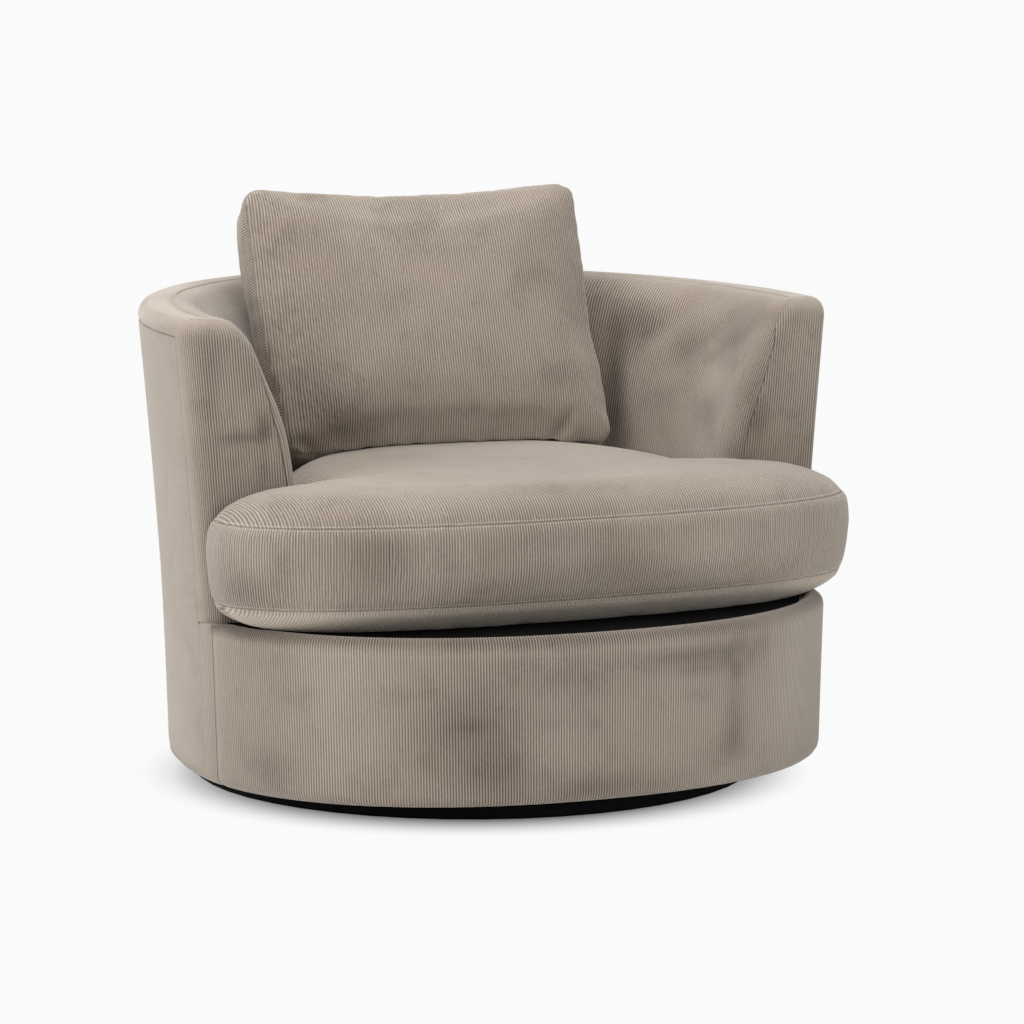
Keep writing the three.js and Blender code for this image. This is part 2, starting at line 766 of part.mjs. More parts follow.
wall('top_band', 'corduroy', wallEndAhead, (station) => {
  const rim = rimHeight(station);
  const outside = edgeArc(rimRadius, rimSteps).map(([d, drop]) => [d, rim - drop]);
  const inside = edgeArc(rimRadius - coverThickness, rimSteps)
    .map(([d, drop]) => [d + coverThickness, rim - coverThickness - drop]);
  return [
    [0, rim - bandDrop],
    ...outside,
    [bandWidth - gap, rim],
    [bandWidth - gap, rim - coverThickness],
    ...inside.reverse(),
    [coverThickness, rim - bandDrop],
  ];
});

wall('inner_cover', 'corduroy', wallEndAhead, (station) => {
  const heights = innerHeights(station, rimHeight(station));
  const bottom = deckPadBottom + gap;
  const shown = heights.map((z) => [innerInset(station, z), z]);
  const hidden = heights.map((z) => [innerInset(station, z) - coverThickness, z]);
  hidden[0] = [bandWidth, rimHeight(station) - coverThickness];
  return [
    ...shown,
    [fullThickness(station), bottom],
    [fullThickness(station) - coverThickness, bottom],
    ...hidden.reverse(),
  ];
});

// Bowed front: bent board, ledge board, foam and cover
const frontEndAhead = wallEndAhead + gap;

function front(name, material, section) {
  const geometry = sweep(
    frontStations(frontEndAhead),
    (station) => section().map(([inset, z]) => frontPoint(station, inset, z)),
  );
  return addPiece(name, geometry, material);
}

const clipHollow = wireRadius + clipPlay;
const clipArch = clipHollow + clipThickness;
const frontFoamThickness = 6;
const frontBoardInset = skinInset + frontFoamThickness + gap;
front('front_panel_board', 'plywood', () => [
  [frontBoardInset, frameBottom],
  [frontBoardInset, boxTop],
  [frontBoardInset + frontPanelThickness, boxTop],
  [frontBoardInset + frontPanelThickness, frameBottom],
]);

const ledgeOutline = frontStations(frontEndAhead)
  .map((station) => frontPoint(station, frontBoardInset, boxTop))
  .filter((p) => p.y < seatBoxFrontY);
const ledgeSeat = boardThickness - 2 * clipArch - clipFlange - gap;
const ledgeEnds = [ledgeOutline[ledgeOutline.length - 1], ledgeOutline[0]];
ledgeEnds.forEach((p) => ledgeOutline.push(new THREE.Vector3(p.x, seatBoxFrontY + ledgeSeat, boxTop)));
addPiece('front_ledge_board', board(
  ledgeOutline,
  boxTop + gap,
  deckPadBottom - boxTop - 2 * gap,
), 'plywood');

const ledgeTopInside = deckHeight - coverThickness - gap;
front('front_foam', 'foam', () => [
  [skinInset, frameBottom],
  ...edgeArc(ledgeRadius - skinInset, rimSteps).map(([d, drop]) => [d + skinInset, ledgeTopInside - drop]),
  [ledgeWidth, ledgeTopInside],
  [ledgeWidth, deckPadBottom],
  [skinInset + frontFoamThickness, deckPadBottom],
  [skinInset + frontFoamThickness, frameBottom],
]);

front('front_cover', 'corduroy', () => [
  [hemReturn, hemHeight],
  ...edgeArc(hemRadius, hemSteps).map(([d, up]) => [d, hemHeight + up]).reverse(),
  ...edgeArc(ledgeRadius, rimSteps).map(([d, drop]) => [d, deckHeight - drop]),
  [ledgeWidth, deckHeight],
  [ledgeWidth, deckHeight - coverThickness],
  ...edgeArc(ledgeRadius - coverThickness, rimSteps)
    .map(([d, drop]) => [d + coverThickness, deckHeight - coverThickness - drop]).reverse(),
  ...edgeArc(hemRadius - coverThickness, hemSteps).map(([d, up]) => [d + coverThickness, clothUnderBoard + up]),
  [hemReturn, clothUnderBoard],
]);

// Zigzag springs, their clips and the cloth over them
const springFrontY = boxFrontInnerY - clipArch;
const springBackY = boxBackInnerY + clipArch;
const passLength = (springBackY - springFrontY) / springPasses;

// Where each straight pass has its points, as shares of the spring's half width
const passShares = [-0.75, -0.35, 0.35, 0.75];

function zigzag() {
  const points = [];
  for (let pass = 0; pass <= springPasses; pass += 1) {
    const side = pass % 2 ? 1 : -1;
    const y = springFrontY + passLength * pass;
    passShares.forEach((share) => {
      points.push(new THREE.Vector3(side * springHalfWidth * share, y, springAxisZ));
    });
    if (pass < springPasses) {
      points.push(new THREE.Vector3(side * springHalfWidth, y + passLength / 2, springAxisZ));
    }
  }
  return new THREE.CatmullRomCurve3(points, false, 'centripetal');
}

const wireSection = new THREE.Shape(new THREE.EllipseCurve(0, 0, wireRadius, wireRadius).getPoints(5).slice(0, 5));
const springGeometry = new THREE.ExtrudeGeometry(wireSection, {
  steps: springPasses * 4 + 2, extrudePath: zigzag(), bevelEnabled: false,
});
const springPitch = 2 * (seatBoxHalfWidth - springEdgeRoom) / (springCount - 1);
const springPlaces = Array.from({ length: springCount }, (_, k) => springPitch * (k - (springCount - 1) / 2));
springPlaces.forEach((x, k) => {
  addPiece(`seat_spring_${k + 1}`, springGeometry, 'steel', [x, 0, 0]);
});

// A clip: a nailed flange and an arch over the wire's last pass, in [along, up] from the board's top
function clipGeometry(direction) {
  const arch = (radius) => Array.from({ length: 7 }, (_, k) => {
    const turn = Math.PI * k / 6;
    return [-radius * Math.cos(turn), wireRadius + gap + radius * Math.sin(turn)];
  });
  const outside = arch(clipArch);
  const inside = arch(clipHollow).reverse();
  const profile = [
    [-clipArch - clipFlange, gap],
    [-clipArch - clipFlange, gap + clipThickness],
    [-clipArch, gap + clipThickness],
    ...outside,
    [clipArch, gap],
    [clipHollow, gap],
    ...inside,
    [-clipHollow, gap],
  ];
  const shape = new THREE.Shape(profile.map(([along, up]) => new THREE.Vector2(along * direction, up)));
  return new THREE.ExtrudeGeometry(shape, { depth: clipWidth, bevelEnabled: false })
    .translate(0, 0, -clipWidth / 2)
    .rotateX(Math.PI / 2)
    .rotateZ(Math.PI / 2);
}

springPlaces.forEach((x, k) => {
  addPiece(`front_spring_clip_${k + 1}`, clipGeometry(1), 'steel', [x, springFrontY, boxTop]);
  addPiece(`back_spring_clip_${k + 1}`, clipGeometry(-1), 'steel', [x, springBackY, boxTop]);
});

const clothBottom = springAxisZ + wireRadius + gap;
const clothMargin = clipArch + gap;
addPiece('spring_cloth', boxBetween(
  [-seatBoxHalfWidth, springFrontY + clothMargin, clothBottom],
  [seatBoxHalfWidth, springBackY - clothMargin, clothBottom + springClothThickness],
), 'blackCloth');

// Deck pad: T-shaped like the cushion, inside the ledge strip and the wall
const deckBack = tubStations(wallEndAhead)
  .map((station) => tubPoint(station, fullThickness(station) + gap, deckPadBottom));
const deckFront = frontStations(frontEndAhead + gap)
  .map((station) => frontPoint(station, ledgeWidth + gap, deckPadBottom));
addPiece('deck_pad', board([...deckBack, ...deckFront], deckPadBottom, deckPadThickness), 'blackCloth');

// Seat cushion: a T-shaped outline that follows the wall behind the arm fronts and laps round
// them in front, drawn smaller and larger through its height
const earRearY = armFrontY - 4 * gap;
const earLineY = earRearY - earRadius;
const cushionMiddleY = earLineY + earRadius / 2;
const earSteps = 4;
const cushionFrontSteps = 14;

function cushionOutline(z) {
  const ends = [1, -1].map((side) => ({ side, ahead: armEndAhead }));
  const back = [ends[0], ...tubStations(wallEndAhead), ends[1]]
    .map((station) => tubPoint(station, fullThickness(station) + cushionPlay, z));
  const ear = (side) => Array.from({ length: earSteps + 1 }, (_, k) => {
    const turn = Math.PI / 2 * (1 - k / earSteps);
    const x = earHalfWidth - earRadius + earRadius * Math.cos(turn);
    return new THREE.Vector3(side * x, earLineY + earRadius * Math.sin(turn), z);
  });
  const bow = Array.from({ length: cushionFrontSteps - 1 }, (_, k) => {
    const turn = Math.PI * (k + 1) / cushionFrontSteps;
    const across = Math.abs(Math.cos(turn)) ** (2 / cushionFrontShare);
    const out = Math.sin(turn) ** (2 / cushionFrontShare);
    const x = -Math.sign(Math.cos(turn)) * earHalfWidth * across;
    return new THREE.Vector3(x, earLineY - cushionFrontReach * out, z);
  });
  return [
    ...back.map((p) => [p, 'wall']),
    [new THREE.Vector3(back[back.length - 1].x, earRearY, z), 'ear'],
    ...ear(-1).map((p) => [p, 'ear']),
    ...bow.map((p) => [p, 'front']),
    ...ear(1).reverse().map((p) => [p, 'ear']),
    [new THREE.Vector3(back[0].x, earRearY, z), 'ear'],
  ];
}

// For each ring the shares of the outline across and ahead, and its level between the named ones
const cushionRingShares = [
  [0.83, 0.7, 0], [0.94, 0.84, 0.5], [0.985, 0.92, 1],
  [1.006, 0.98, 1.35], [1.013, 1.015, 1.7], [1, 1, 2],
  [0.95, 0.945, 2.42], [0.85, 0.84, 2.78], [0.65, 0.65, 2.96],
];
const cushionLevels = [deckHeight + gap, cushionBottomSeam, cushionTopSeam, cushionTopSeam + cushionCrown];

function cushionLevel(step) {
  const low = Math.min(Math.floor(step), 2);
  return lerp(cushionLevels[low], cushionLevels[low + 1], step - low);
}

function cushionRing([across, ahead, step]) {
  return cushionOutline(cushionLevel(step)).map(([p, part]) => {
    const along = p.y < earLineY ? ahead : across;
    const limit = part === 'wall' ? 1 : Infinity;
    return new THREE.Vector3(
      p.x * Math.min(across, limit),
      cushionMiddleY + (p.y - cushionMiddleY) * (part === 'front' ? along : Math.min(along, 1)),
      p.z,
    );
  });
}

addPiece('seat_cushion', domed(
  cushionRingShares.map(cushionRing),
  new THREE.Vector3(0, cushionMiddleY, cushionLevel(0)),
  new THREE.Vector3(0, cushionMiddleY, cushionLevel(3)),
), 'corduroy');

// Back pillow: rings from its front face to its back face, in its own leaning frame
const pillowSideSteps = 6;
const pillowCornerSteps = 3;

// Rounded corners with the sides drawn in between them
function pillowOutline() {
  const [a, b] = [pillowWidth / 2 - pillowCornerRadius, pillowHeight / 2 - pillowCornerRadius];
  const arcs = [[a, b], [-a, b], [-a, -b], [a, -b]].map(([across, up], k) => (
    Array.from({ length: pillowCornerSteps + 1 }, (_, step) => {
      const turn = Math.PI / 2 * (k + step / pillowCornerSteps);
      return new THREE.Vector2(Math.cos(turn), Math.sin(turn))
        .multiplyScalar(pillowCornerRadius).add(new THREE.Vector2(across, up));
    })
  ));
  return arcs.flatMap((arc, k) => {
    const [from, to] = [arc[pillowCornerSteps], arcs[(k + 1) % 4][0]];
    const inward = new THREE.Vector2(Math.sin(Math.PI / 2 * k), -Math.cos(Math.PI / 2 * k));
    const side = Array.from({ length: pillowSideSteps - 1 }, (_, step) => {
      const share = (step + 1) / pillowSideSteps;
      return from.clone().lerp(to, share).addScaledVector(inward, pillowDrawIn * 4 * share * (1 - share));
    });
    return [...arc, ...side];
  });
}

// Share of the outline, and the step along the thickness: 0 to 1 is the border
const pillowRingShares = [
  [0.5, -0.9], [0.8, -0.5], [0.95, -0.15], [1, 0.12], [0.995, 0.5], [1, 0.88], [0.97, 1.2], [0.87, 1.7], [0.7, 2],
];

function pillowDepth(step) {
  const front = Math.min(step, 0) * pillowCrown;
  const back = Math.max(step - 1, 0) * pillowBackCrown;
  return front + THREE.MathUtils.clamp(step, 0, 1) * pillowBorder + back;
}

function pillowPoint(across, up, depth) {
  const spread = 1 - pillowSpread * up / pillowHeight;
  return new THREE.Vector3(across * spread, depth, up + pillowHeight / 2)
    .applyAxisAngle(new THREE.Vector3(1, 0, 0), -pillowLean)
    .applyAxisAngle(new THREE.Vector3(0, 0, 1), pillowYaw)
    .add(new THREE.Vector3(pillowX, pillowFrontY, pillowFootHeight));
}

const pillowPlan = pillowOutline();
const plumpPillow = domed(
  pillowRingShares.map(([share, step]) => (
    pillowPlan.map(({ x, y }) => pillowPoint(x * share, y * share, pillowDepth(step)))
  )),
  pillowPoint(0, 0, pillowDepth(-1)),
  pillowPoint(0, 0, pillowDepth(2)),
);
// The pillow is pressed flat where it sits on the cushion and where it leans on the wall
const wallFace = sweep(tubStations(frameEndAhead), (station) => (
  [...innerHeights(station, rimHeight(station)), deckHeight]
    .map((z) => tubPoint(station, innerInset(station, z) + gap, z))
    .concat([deckHeight, rimHeight(station)].map((z) => tubPoint(station, 0, z)))
));
const seatFace = chair.getObjectByName('seat_cushion').geometry.clone().translate(0, 0, gap);
addPiece('back_pillow', cut(plumpPillow, [seatFace, wallFace]), 'corduroy');

// Zip sliders: a body over the chain and a hanging pull
function slider() {
  const body = boxBetween(
    [-sliderWidth / 2, 0, -sliderHeight / 2],
    [sliderWidth / 2, sliderThickness, sliderHeight / 2],
  );
  const pull = boxBetween(
    [-sliderWidth / 3, sliderThickness - pullThickness, -sliderHeight / 2 - pullLength],
    [sliderWidth / 3, sliderThickness, -sliderHeight / 3],
  );
  return join([body, pull]);
}

const zipHeight = lerp(cushionBottomSeam, cushionTopSeam, 0.5);
const zipStation = { angle: Math.PI / 2 };
const zipY = tubPoint(zipStation, fullThickness(zipStation) + cushionPlay, zipHeight + sliderHeight).y;
addPiece('seat_zip_slider', slider(), 'steel', [0, zipY + gap, zipHeight]);

const pillowZipDepth = pillowDepth(2) + gap;
const pillowZipRise = armHeight + rimRise + pillowZipAboveRim - pillowFootHeight;
const pillowZipUp = (pillowZipRise + pillowZipDepth * Math.sin(pillowLean)) / Math.cos(pillowLean)
  - pillowHeight / 2;
const pillowZipPlace = pillowPoint(-pillowZipLength / 2, pillowZipUp, pillowZipDepth);
const pillowSlider = addPiece('pillow_zip_slider', slider(), 'steel', pillowZipPlace.toArray());
pillowSlider.rotation.set(-pillowLean, 0, pillowYaw, 'ZYX');

export default chair;
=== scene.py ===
"""A swivel tub chair in fine taupe corduroy, dressed over its CAD frame.

The covers are laid over the tub from the same sizes as the frame's, the seat cushion and the back
pillow are stuffed by cloth simulation, and the boards, springs and turntable get their materials.
Lengths are worked out in millimetres and turned into metres where a piece is made.
"""

import json
import math

import bpy
import numpy as np
from mathutils import Matrix, Vector
from mathutils.bvhtree import BVHTree
from mathutils.kdtree import KDTree


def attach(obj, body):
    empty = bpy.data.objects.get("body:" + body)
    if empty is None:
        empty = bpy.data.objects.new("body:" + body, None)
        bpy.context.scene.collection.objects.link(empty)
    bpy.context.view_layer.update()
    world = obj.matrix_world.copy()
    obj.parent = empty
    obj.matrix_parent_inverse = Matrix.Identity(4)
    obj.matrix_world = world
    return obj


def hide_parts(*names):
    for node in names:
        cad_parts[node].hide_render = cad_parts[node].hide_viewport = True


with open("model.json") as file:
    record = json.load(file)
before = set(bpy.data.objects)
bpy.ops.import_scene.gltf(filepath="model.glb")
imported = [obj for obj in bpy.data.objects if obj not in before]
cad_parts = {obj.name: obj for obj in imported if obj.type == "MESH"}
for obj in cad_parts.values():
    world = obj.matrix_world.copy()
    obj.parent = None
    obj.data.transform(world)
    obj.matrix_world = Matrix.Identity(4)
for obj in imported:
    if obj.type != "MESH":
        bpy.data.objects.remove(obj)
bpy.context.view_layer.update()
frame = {"nodes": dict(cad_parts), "record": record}

MM = 0.001
FAR = 60                 # stands for no seam nearby, in millimetres
CLOTH_THICKNESS = 3.6 * MM
SHARP_ANGLE = math.radians(40)

# ---------------------------------------------------------------- camera, light and floor

CAMERA_PLACE = (-2.2803, -5.0211, 1.101)
CAMERA_AIM = (0.41903, 0.89845, -0.13115)
CAMERA_LENS = 135.79
FLOOR_HALF_WIDTH = 7.0
BACKDROP = (0.955, 0.959, 0.959)
# Each lamp's place, what it points at, the side of its square, in metres, and its watts
LAMPS = {
    "overhead": ((-0.6, 0.1, 3.0), (0, 0, 0.4), 2.6, 76),
    "left": ((-3.4, -0.6, 1.7), (0, 0, 0.5), 2.2, 58),
    "front": ((1.4, -3.8, 2.2), (0, 0, 0.4), 2.2, 56),
}


def stand(name, data, place, direction):
    """Puts a camera or a lamp at a place, looking along a direction."""
    holder = bpy.data.objects.new(name, data)
    holder.location = place
    holder.rotation_euler = Vector(direction).to_track_quat("-Z", "Y").to_euler()
    bpy.context.collection.objects.link(holder)
    return holder


def add_camera():
    camera = bpy.data.cameras.new("camera")
    camera.lens = CAMERA_LENS
    camera.sensor_width = 36
    camera.clip_end = 60
    bpy.context.scene.camera = stand("camera", camera, CAMERA_PLACE, CAMERA_AIM)


def add_lamps():
    for name, (place, target, side, watts) in LAMPS.items():
        lamp = bpy.data.lights.new(name, "AREA")
        lamp.shape = "RECTANGLE"
        lamp.size = lamp.size_y = side
        lamp.energy = watts
        stand(name, lamp, place, Vector(target) - Vector(place)).visible_camera = False


# ---------------------------------------------------------------- shader maths

class Value:
    """A shader socket that can be added, multiplied and so on."""

    def __init__(self, graph, link):
        self.graph, self.link = graph, link

    def math(self, operation, *others):
        return self.graph.node("ShaderNodeMath", {"operation": operation}, *others)

    def __add__(self, other):
        return self.math("ADD", self, other)

    def __radd__(self, other):
        return self.math("ADD", other, self)

    def __sub__(self, other):
        return self.math("SUBTRACT", self, other)

    def __rsub__(self, other):
        return self.math("SUBTRACT", other, self)

    def __mul__(self, other):
        return self.math("MULTIPLY", self, other)

    def __rmul__(self, other):
        return self.math("MULTIPLY", other, self)

    def __pow__(self, other):
        return self.math("POWER", self, other)

    def sine(self):
        return self.math("SINE", self)

    def size(self):
        return self.math("ABSOLUTE", self)

    def limited(self):
        return self.math("MINIMUM", self.math("MAXIMUM", self, 0), 1)

    def step(self, low, high):
        """0 below low, 1 above high, smooth in between."""
        settings = {"interpolation_type": "SMOOTHSTEP"}
        return self.graph.node("ShaderNodeMapRange", settings, self, low, high)


class Graph:
    """A node tree under construction."""

    def __init__(self, tree):
        self.tree = tree

    def node(self, kind, settings=None, *inputs, output=0, **named):
        """Adds a node: its settings first, then its sockets by order or by name."""
        node = self.tree.nodes.new(kind)
        for key, value in (settings or {}).items():
            setattr(node, key, value)
        sockets = list(zip([s for s in node.inputs if s.enabled], inputs))
        sockets += [(node.inputs[key.replace("_", " ")], value) for key, value in named.items()]
        for socket, value in sockets:
            if isinstance(value, Value):
                self.tree.links.new(value.link, socket)
            else:
                socket.default_value = (*value, 1) if socket.type == "RGBA" else value
        return Value(self, node.outputs[output])

    def ray(self, kind):
        return self.node("ShaderNodeLightPath", output=f"Is {kind} Ray")

class Finish(Graph):
    """A material under construction, with its Principled shader."""

    def __init__(self, name, **constants):
        self.material = bpy.data.materials.new(name)
        self.material.use_nodes = True
        super().__init__(self.material.node_tree)
        self.shader = self.tree.nodes["Principled BSDF"]
        for socket, value in constants.items():
            self.set(socket.replace("_", " "), value)

    def set(self, socket, value):
        target = self.shader.inputs[socket]
        if isinstance(value, Value):
            self.tree.links.new(value.link, target)
        else:
            target.default_value = (*value, 1) if isinstance(value, tuple) else value

    def place(self):
        return self.node("ShaderNodeTexCoord", output="Object")

    def parts(self, vector):
        return [self.node("ShaderNodeSeparateXYZ", None, vector, output=k) for k in range(3)]

    def stored(self, name):
        return self.parts(self.node("ShaderNodeAttribute", {"attribute_name": name}, output="Vector"))

    def noise(self, vector, scale, detail=2.0, roughness=0.5):
        return self.node(
            "ShaderNodeTexNoise", None, Vector=vector, Scale=scale, Detail=detail, Roughness=roughness)

    def stretched(self, vector, scale):
        """vector scaled by a factor for each axis."""
        return self.node("ShaderNodeMapping", None, Vector=vector, Scale=scale)

    def mix(self, factor, first, second):
        """first where factor is 0, second where it is 1, as colours."""
        settings = {"data_type": "RGBA", "clamp_factor": True}
        return self.node("ShaderNodeMix", settings, factor, first, second, output="Result")

    def bump(self, height, distance, strength):
        self.set("Normal", self.node(
            "ShaderNodeBump", None, Strength=strength, Distance=distance, Height=height))


# ---------------------------------------------------------------- corduroy

RIB_PITCH = 3.9 * MM
STITCH_PITCH = 4.4 * MM
CLOTH_DARK = (0.074, 0.058, 0.044)
CLOTH_LIGHT = (0.472, 0.400, 0.332)
CLOTH_WARM = (0.300, 0.232, 0.170)
THREAD = (0.50, 0.44, 0.37)
# The cloth's tone, from CLOTH_DARK to CLOTH_LIGHT: its level, and how much each thing changes it
TONE, RIB_TONE, PILE_TONE, FLECK_TONE, CLOUD_TONE, NAP_TONE = 0.53, 0.62, 0.34, 0.20, 0.34, 0.10
MEAN_CREST = 0.62
# A seam's darkness and depth, plain and with light stitches beside it
PLAIN_SEAM, STITCHED_SEAM = (0.72, 1.6), (0.28, 0.8)
STITCHES_AWAY = 2.4 * MM


def corduroy(name, light_stitches):
    """Fine ribbed cloth. Each piece carries "ribs": the way across the ribs of its main panel, of
    its other panel, and how far beyond the seam between the two a point lies, in metres. It also
    carries "look": how strongly the ribs show, how the nap marks and the painted light and shade
    darken or lighten the cloth, and the distance to the nearest seam in metres, which may change
    its sign across the seam."""
    finish = Finish(name, Roughness=0.86, Specular_IOR_Level=0.15,
                    Sheen_Weight=0.55, Sheen_Roughness=0.38, Sheen_Tint=(0.96, 0.90, 0.84))
    place = finish.place()
    across, other_across, beyond = finish.stored("ribs")
    strength, shade, seam = finish.stored("look")
    seam = seam.size()
    across = across + (other_across - across) * beyond.step(-0.0002, 0.0002)
    wander = finish.noise(place, 16) - 0.5
    crest = (((across + wander * 0.0012) * (2 * math.pi / RIB_PITCH)).sine() * 0.5 + 0.5) ** 0.8
    pile = finish.noise(place, 1000, 2, 0.65) - 0.5
    flecks = finish.noise(place, 260, 2, 0.6) - 0.5
    clouds = finish.noise(place, 5.5, 2, 0.55) - 0.5
    nap = finish.noise(place, 15, 3, 0.6).step(0.52, 0.72)
    warm = finish.noise(place, 8).step(0.48, 0.70)
    tone = TONE + (crest - MEAN_CREST) * strength * RIB_TONE + pile * PILE_TONE + flecks * FLECK_TONE
    tone = tone + clouds * CLOUD_TONE + shade - nap * NAP_TONE
    colour = finish.mix(warm * 0.16, finish.mix(tone.limited(), CLOTH_DARK, CLOTH_LIGHT), CLOTH_WARM)
    line = 1 - seam.step(0.0002, 0.0016)
    darkness, depth = STITCHED_SEAM if light_stitches else PLAIN_SEAM
    colour = finish.mix(line * darkness, colour, CLOTH_DARK)
    height = crest * strength + pile * 0.3 - line * depth
    if light_stitches:
        dashes = (across * (2 * math.pi / STITCH_PITCH)).sine().step(-0.6, -0.1)
        beside = 1 - (seam - STITCHES_AWAY).size().step(0.0002, 0.0011)
        colour = finish.mix(beside * (0.4 + dashes * 0.6) * 0.5, colour, THREAD)
        height = height + beside * dashes * 0.4
    finish.set("Base Color", colour)
    finish.bump(height, 0.0009, 0.85)
    return finish.material


# Soft folds in the cloth, with painted shade darkening their creases, and painted shadow lines: each a
# line from one place to another, its width, its depth and how much painted shade darkens it
FOLDS_AND_SHADOW_LINES = [
    ((-446, -155, 512), (-376, -154, 513), 7, 2.4, 0.10),
    ((-384, -155, 540), (-378, -155, 506), 12, 3.0, 0.08),
    ((-420, -155, 478), (-385, -155, 500), 9, 1.2, 0.03),
    ((404, -150, 655), (372, -30, 575), 15, 3.0, 0.10),
    ((398, -84, 658), (346, 70, 545), 17, 2.8, 0.10),
    ((377, 50, 658), (320, 150, 560), 17, 2.6, 0.08),
    ((392, -140, 560), (352, -90, 450), 13, 2.4, 0.08),
    ((372, -150, 508), (360, -148, 462), 7, 2.2, 0.16),
    ((360, -140, 470), (338, -110, 446), 9, 1.6, 0.12),
    ((-415, -120, 655), (-365, 0, 560), 16, 2.6, 0.08),
    ((-395, -30, 655), (-340, 110, 540), 17, 2.8, 0.08),
    ((-340, 200, 660), (-250, 280, 560), 18, 2.4, 0.06),
    ((150, 330, 660), (60, 335, 560), 18, 2.2, 0.06),
    # painted shadow of the pillow on the right arm's inner wall: no depth, only painted shade
    ((312, 165, 640), (292, 126, 540), 15, 0, 0.30),
    ((296, 132, 560), (281, 102, 440), 16, 0, 0.46),
    ((-120, -467, 148), (-84, -469, 147), 5, 1.0, 0.10),
]

# Places where the nap lies over, and patches of painted shade and light, such as where the pillow and the
# arms shade the walls and the seat: middle, reach along each axis, and how much lighter or darker, times
# NAP_AND_SHADE_STRENGTH
NAP_AND_SHADE_STRENGTH = 1.5
NAP_MARKS_AND_SHADE = [
    ((-205, -441, 148), (62, 60, 62), -0.15), ((-178, -449, 84), (46, 40, 34), -0.11),
    ((-90, -467, 212), (70, 50, 24), -0.07), ((112, -464, 225), (82, 60, 11), -0.17),
    ((189, -446, 130), (17, 50, 52), -0.12), ((181, -449, 92), (34, 50, 20), -0.10),
    ((300, -390, 150), (80, 80, 90), 0.05), ((-360, -350, 150), (60, 70, 110), 0.08),
    ((-422, -269, 80), (34, 40, 26), -0.10), ((2, -471, 62), (90, 40, 22), -0.08),
    ((-303, -370, 362), (44, 50, 44), -0.10), ((36, -400, 352), (52, 40, 34), -0.09),
    ((161, -394, 344), (44, 40, 40), 0.05), ((-450, -290, 370), (40, 60, 40), 0.08),
    ((334, 130, 627), (30, 40, 34), -0.20), ((360, 19, 590), (26, 46, 40), -0.12),
    ((329, 37, 516), (30, 40, 30), -0.08), ((345, -59, 509), (22, 36, 24), -0.12),
    ((383, -79, 618), (24, 40, 40), -0.10), ((352, -60, 560), (20, 24, 40), 0.07),
    ((381, -152, 500), (16, 22, 26), -0.16), ((355, -140, 452), (24, 26, 22), -0.14),
    ((409, -106, 657), (40, 60, 20), -0.08),
    ((-381, -155, 526), (13, 22, 20), -0.22), ((-414, -155, 514), (34, 20, 9), -0.13),
    ((-456, -155, 612), (16, 30, 52), -0.07), ((-398, -155, 590), (14, 22, 30), -0.06),
    ((-440, -155, 560), (14, 22, 60), 0.05), ((-384, -155, 470), (10, 20, 40), -0.08),
    ((-262, 250, 662), (56, 60, 34), -0.12), ((-300, 214, 610), (50, 60, 60), -0.12),
    ((-28, -471, 58), (60, 40, 14), -0.10), ((127, -462, 206), (50, 40, 9), -0.12),
    ((190, -446, 200), (9, 40, 12), -0.12), ((-205, -441, 149), (20, 40, 8), -0.10),
    ((366, -2, 592), (20, 40, 30), 0.05), ((-465, -273, 326), (34, 44, 24), -0.10),
    ((-300, -374, 385), (42, 40, 12), -0.05), ((226, -389, 367), (60, 40, 50), 0.04),
    ((-60, 100, 800), (260, 90, 60), -0.05), ((120, -296, 445), (90, 60, 30), 0.04),
    ((-120, -38, 448), (110, 60, 30), -0.04), ((-170, 95, 505), (70, 60, 40), -0.16),
    ((-205, 110, 560), (40, 60, 70), -0.10), ((60, 90, 700), (90, 90, 70), 0.03),
]


def worn_and_shaded(points, outward, shade):
    """Presses the folds into points and paints shade into their creases and shadow lines, then adds
    the nap marks and the painted shade and light, all in millimetres.
    """
    for start, end, width, depth, darkness in FOLDS_AND_SHADOW_LINES:
        start, way = np.array(start, float), np.subtract(end, start).astype(float)
        share = np.clip(((points - start) @ way) / (way @ way), 0, 1)
        away = np.linalg.norm(points - (start + share[..., None] * way), axis=-1)
        crease = np.exp(-(away / width) ** 2) * np.sin(np.pi * (0.12 + 0.76 * share))
        shoulder = np.exp(-((away - 1.9 * width) / width) ** 2) * 0.4
        points = points - outward * (depth * (crease - shoulder * (away < 5 * width)))[..., None]
        shade = shade - darkness * crease
    for middle, reach, amount in NAP_MARKS_AND_SHADE:
        away = ((points - np.array(middle)) / np.array(reach)) ** 2
        shade = shade + NAP_AND_SHADE_STRENGTH * amount * np.exp(-away.sum(axis=-1))
    return points, shade


# ---------------------------------------------------------------- mesh helpers

def smooth_curve(pairs):
    """The value at any place along (place, value) pairs, without kinks or overshoot."""
    places, values = np.array(sorted(pairs), float).T
    steps = np.diff(places)
    rises = np.diff(values) / steps
    slopes = np.concatenate([[rises[0]], np.zeros(len(rises) - 1), [rises[-1]]])
    for k in range(1, len(rises)):
        if rises[k - 1] * rises[k] > 0:
            slopes[k] = 2 / (1 / rises[k - 1] + 1 / rises[k])

    def at(place):
        k = int(np.clip(np.searchsorted(places, place) - 1, 0, len(steps) - 1))
        share = (place - places[k]) / steps[k]
        if share > 1 or share < 0:
            edge = 1 if share > 1 else 0
            return values[k + edge] + slopes[k + edge] * (place - places[k + edge])
        rest = 1 - share
        return (values[k] * (1 + 2 * share) * rest ** 2 + values[k + 1] * (3 - 2 * share) * share ** 2
                + steps[k] * share * rest * (slopes[k] * rest - slopes[k + 1] * share))
    return at


def lerp(a, b, share):
    return a + (b - a) * share


def rise(value, low, high):
    """0 below low, 1 above high, even in between."""
    return np.clip((value - low) / (high - low), 0, 1)


def lengths(points):
    """How far along a line each of its points is."""
    steps = np.linalg.norm(np.diff(np.array(points, float), axis=0), axis=1)
    return np.concatenate([[0], np.cumsum(steps)])


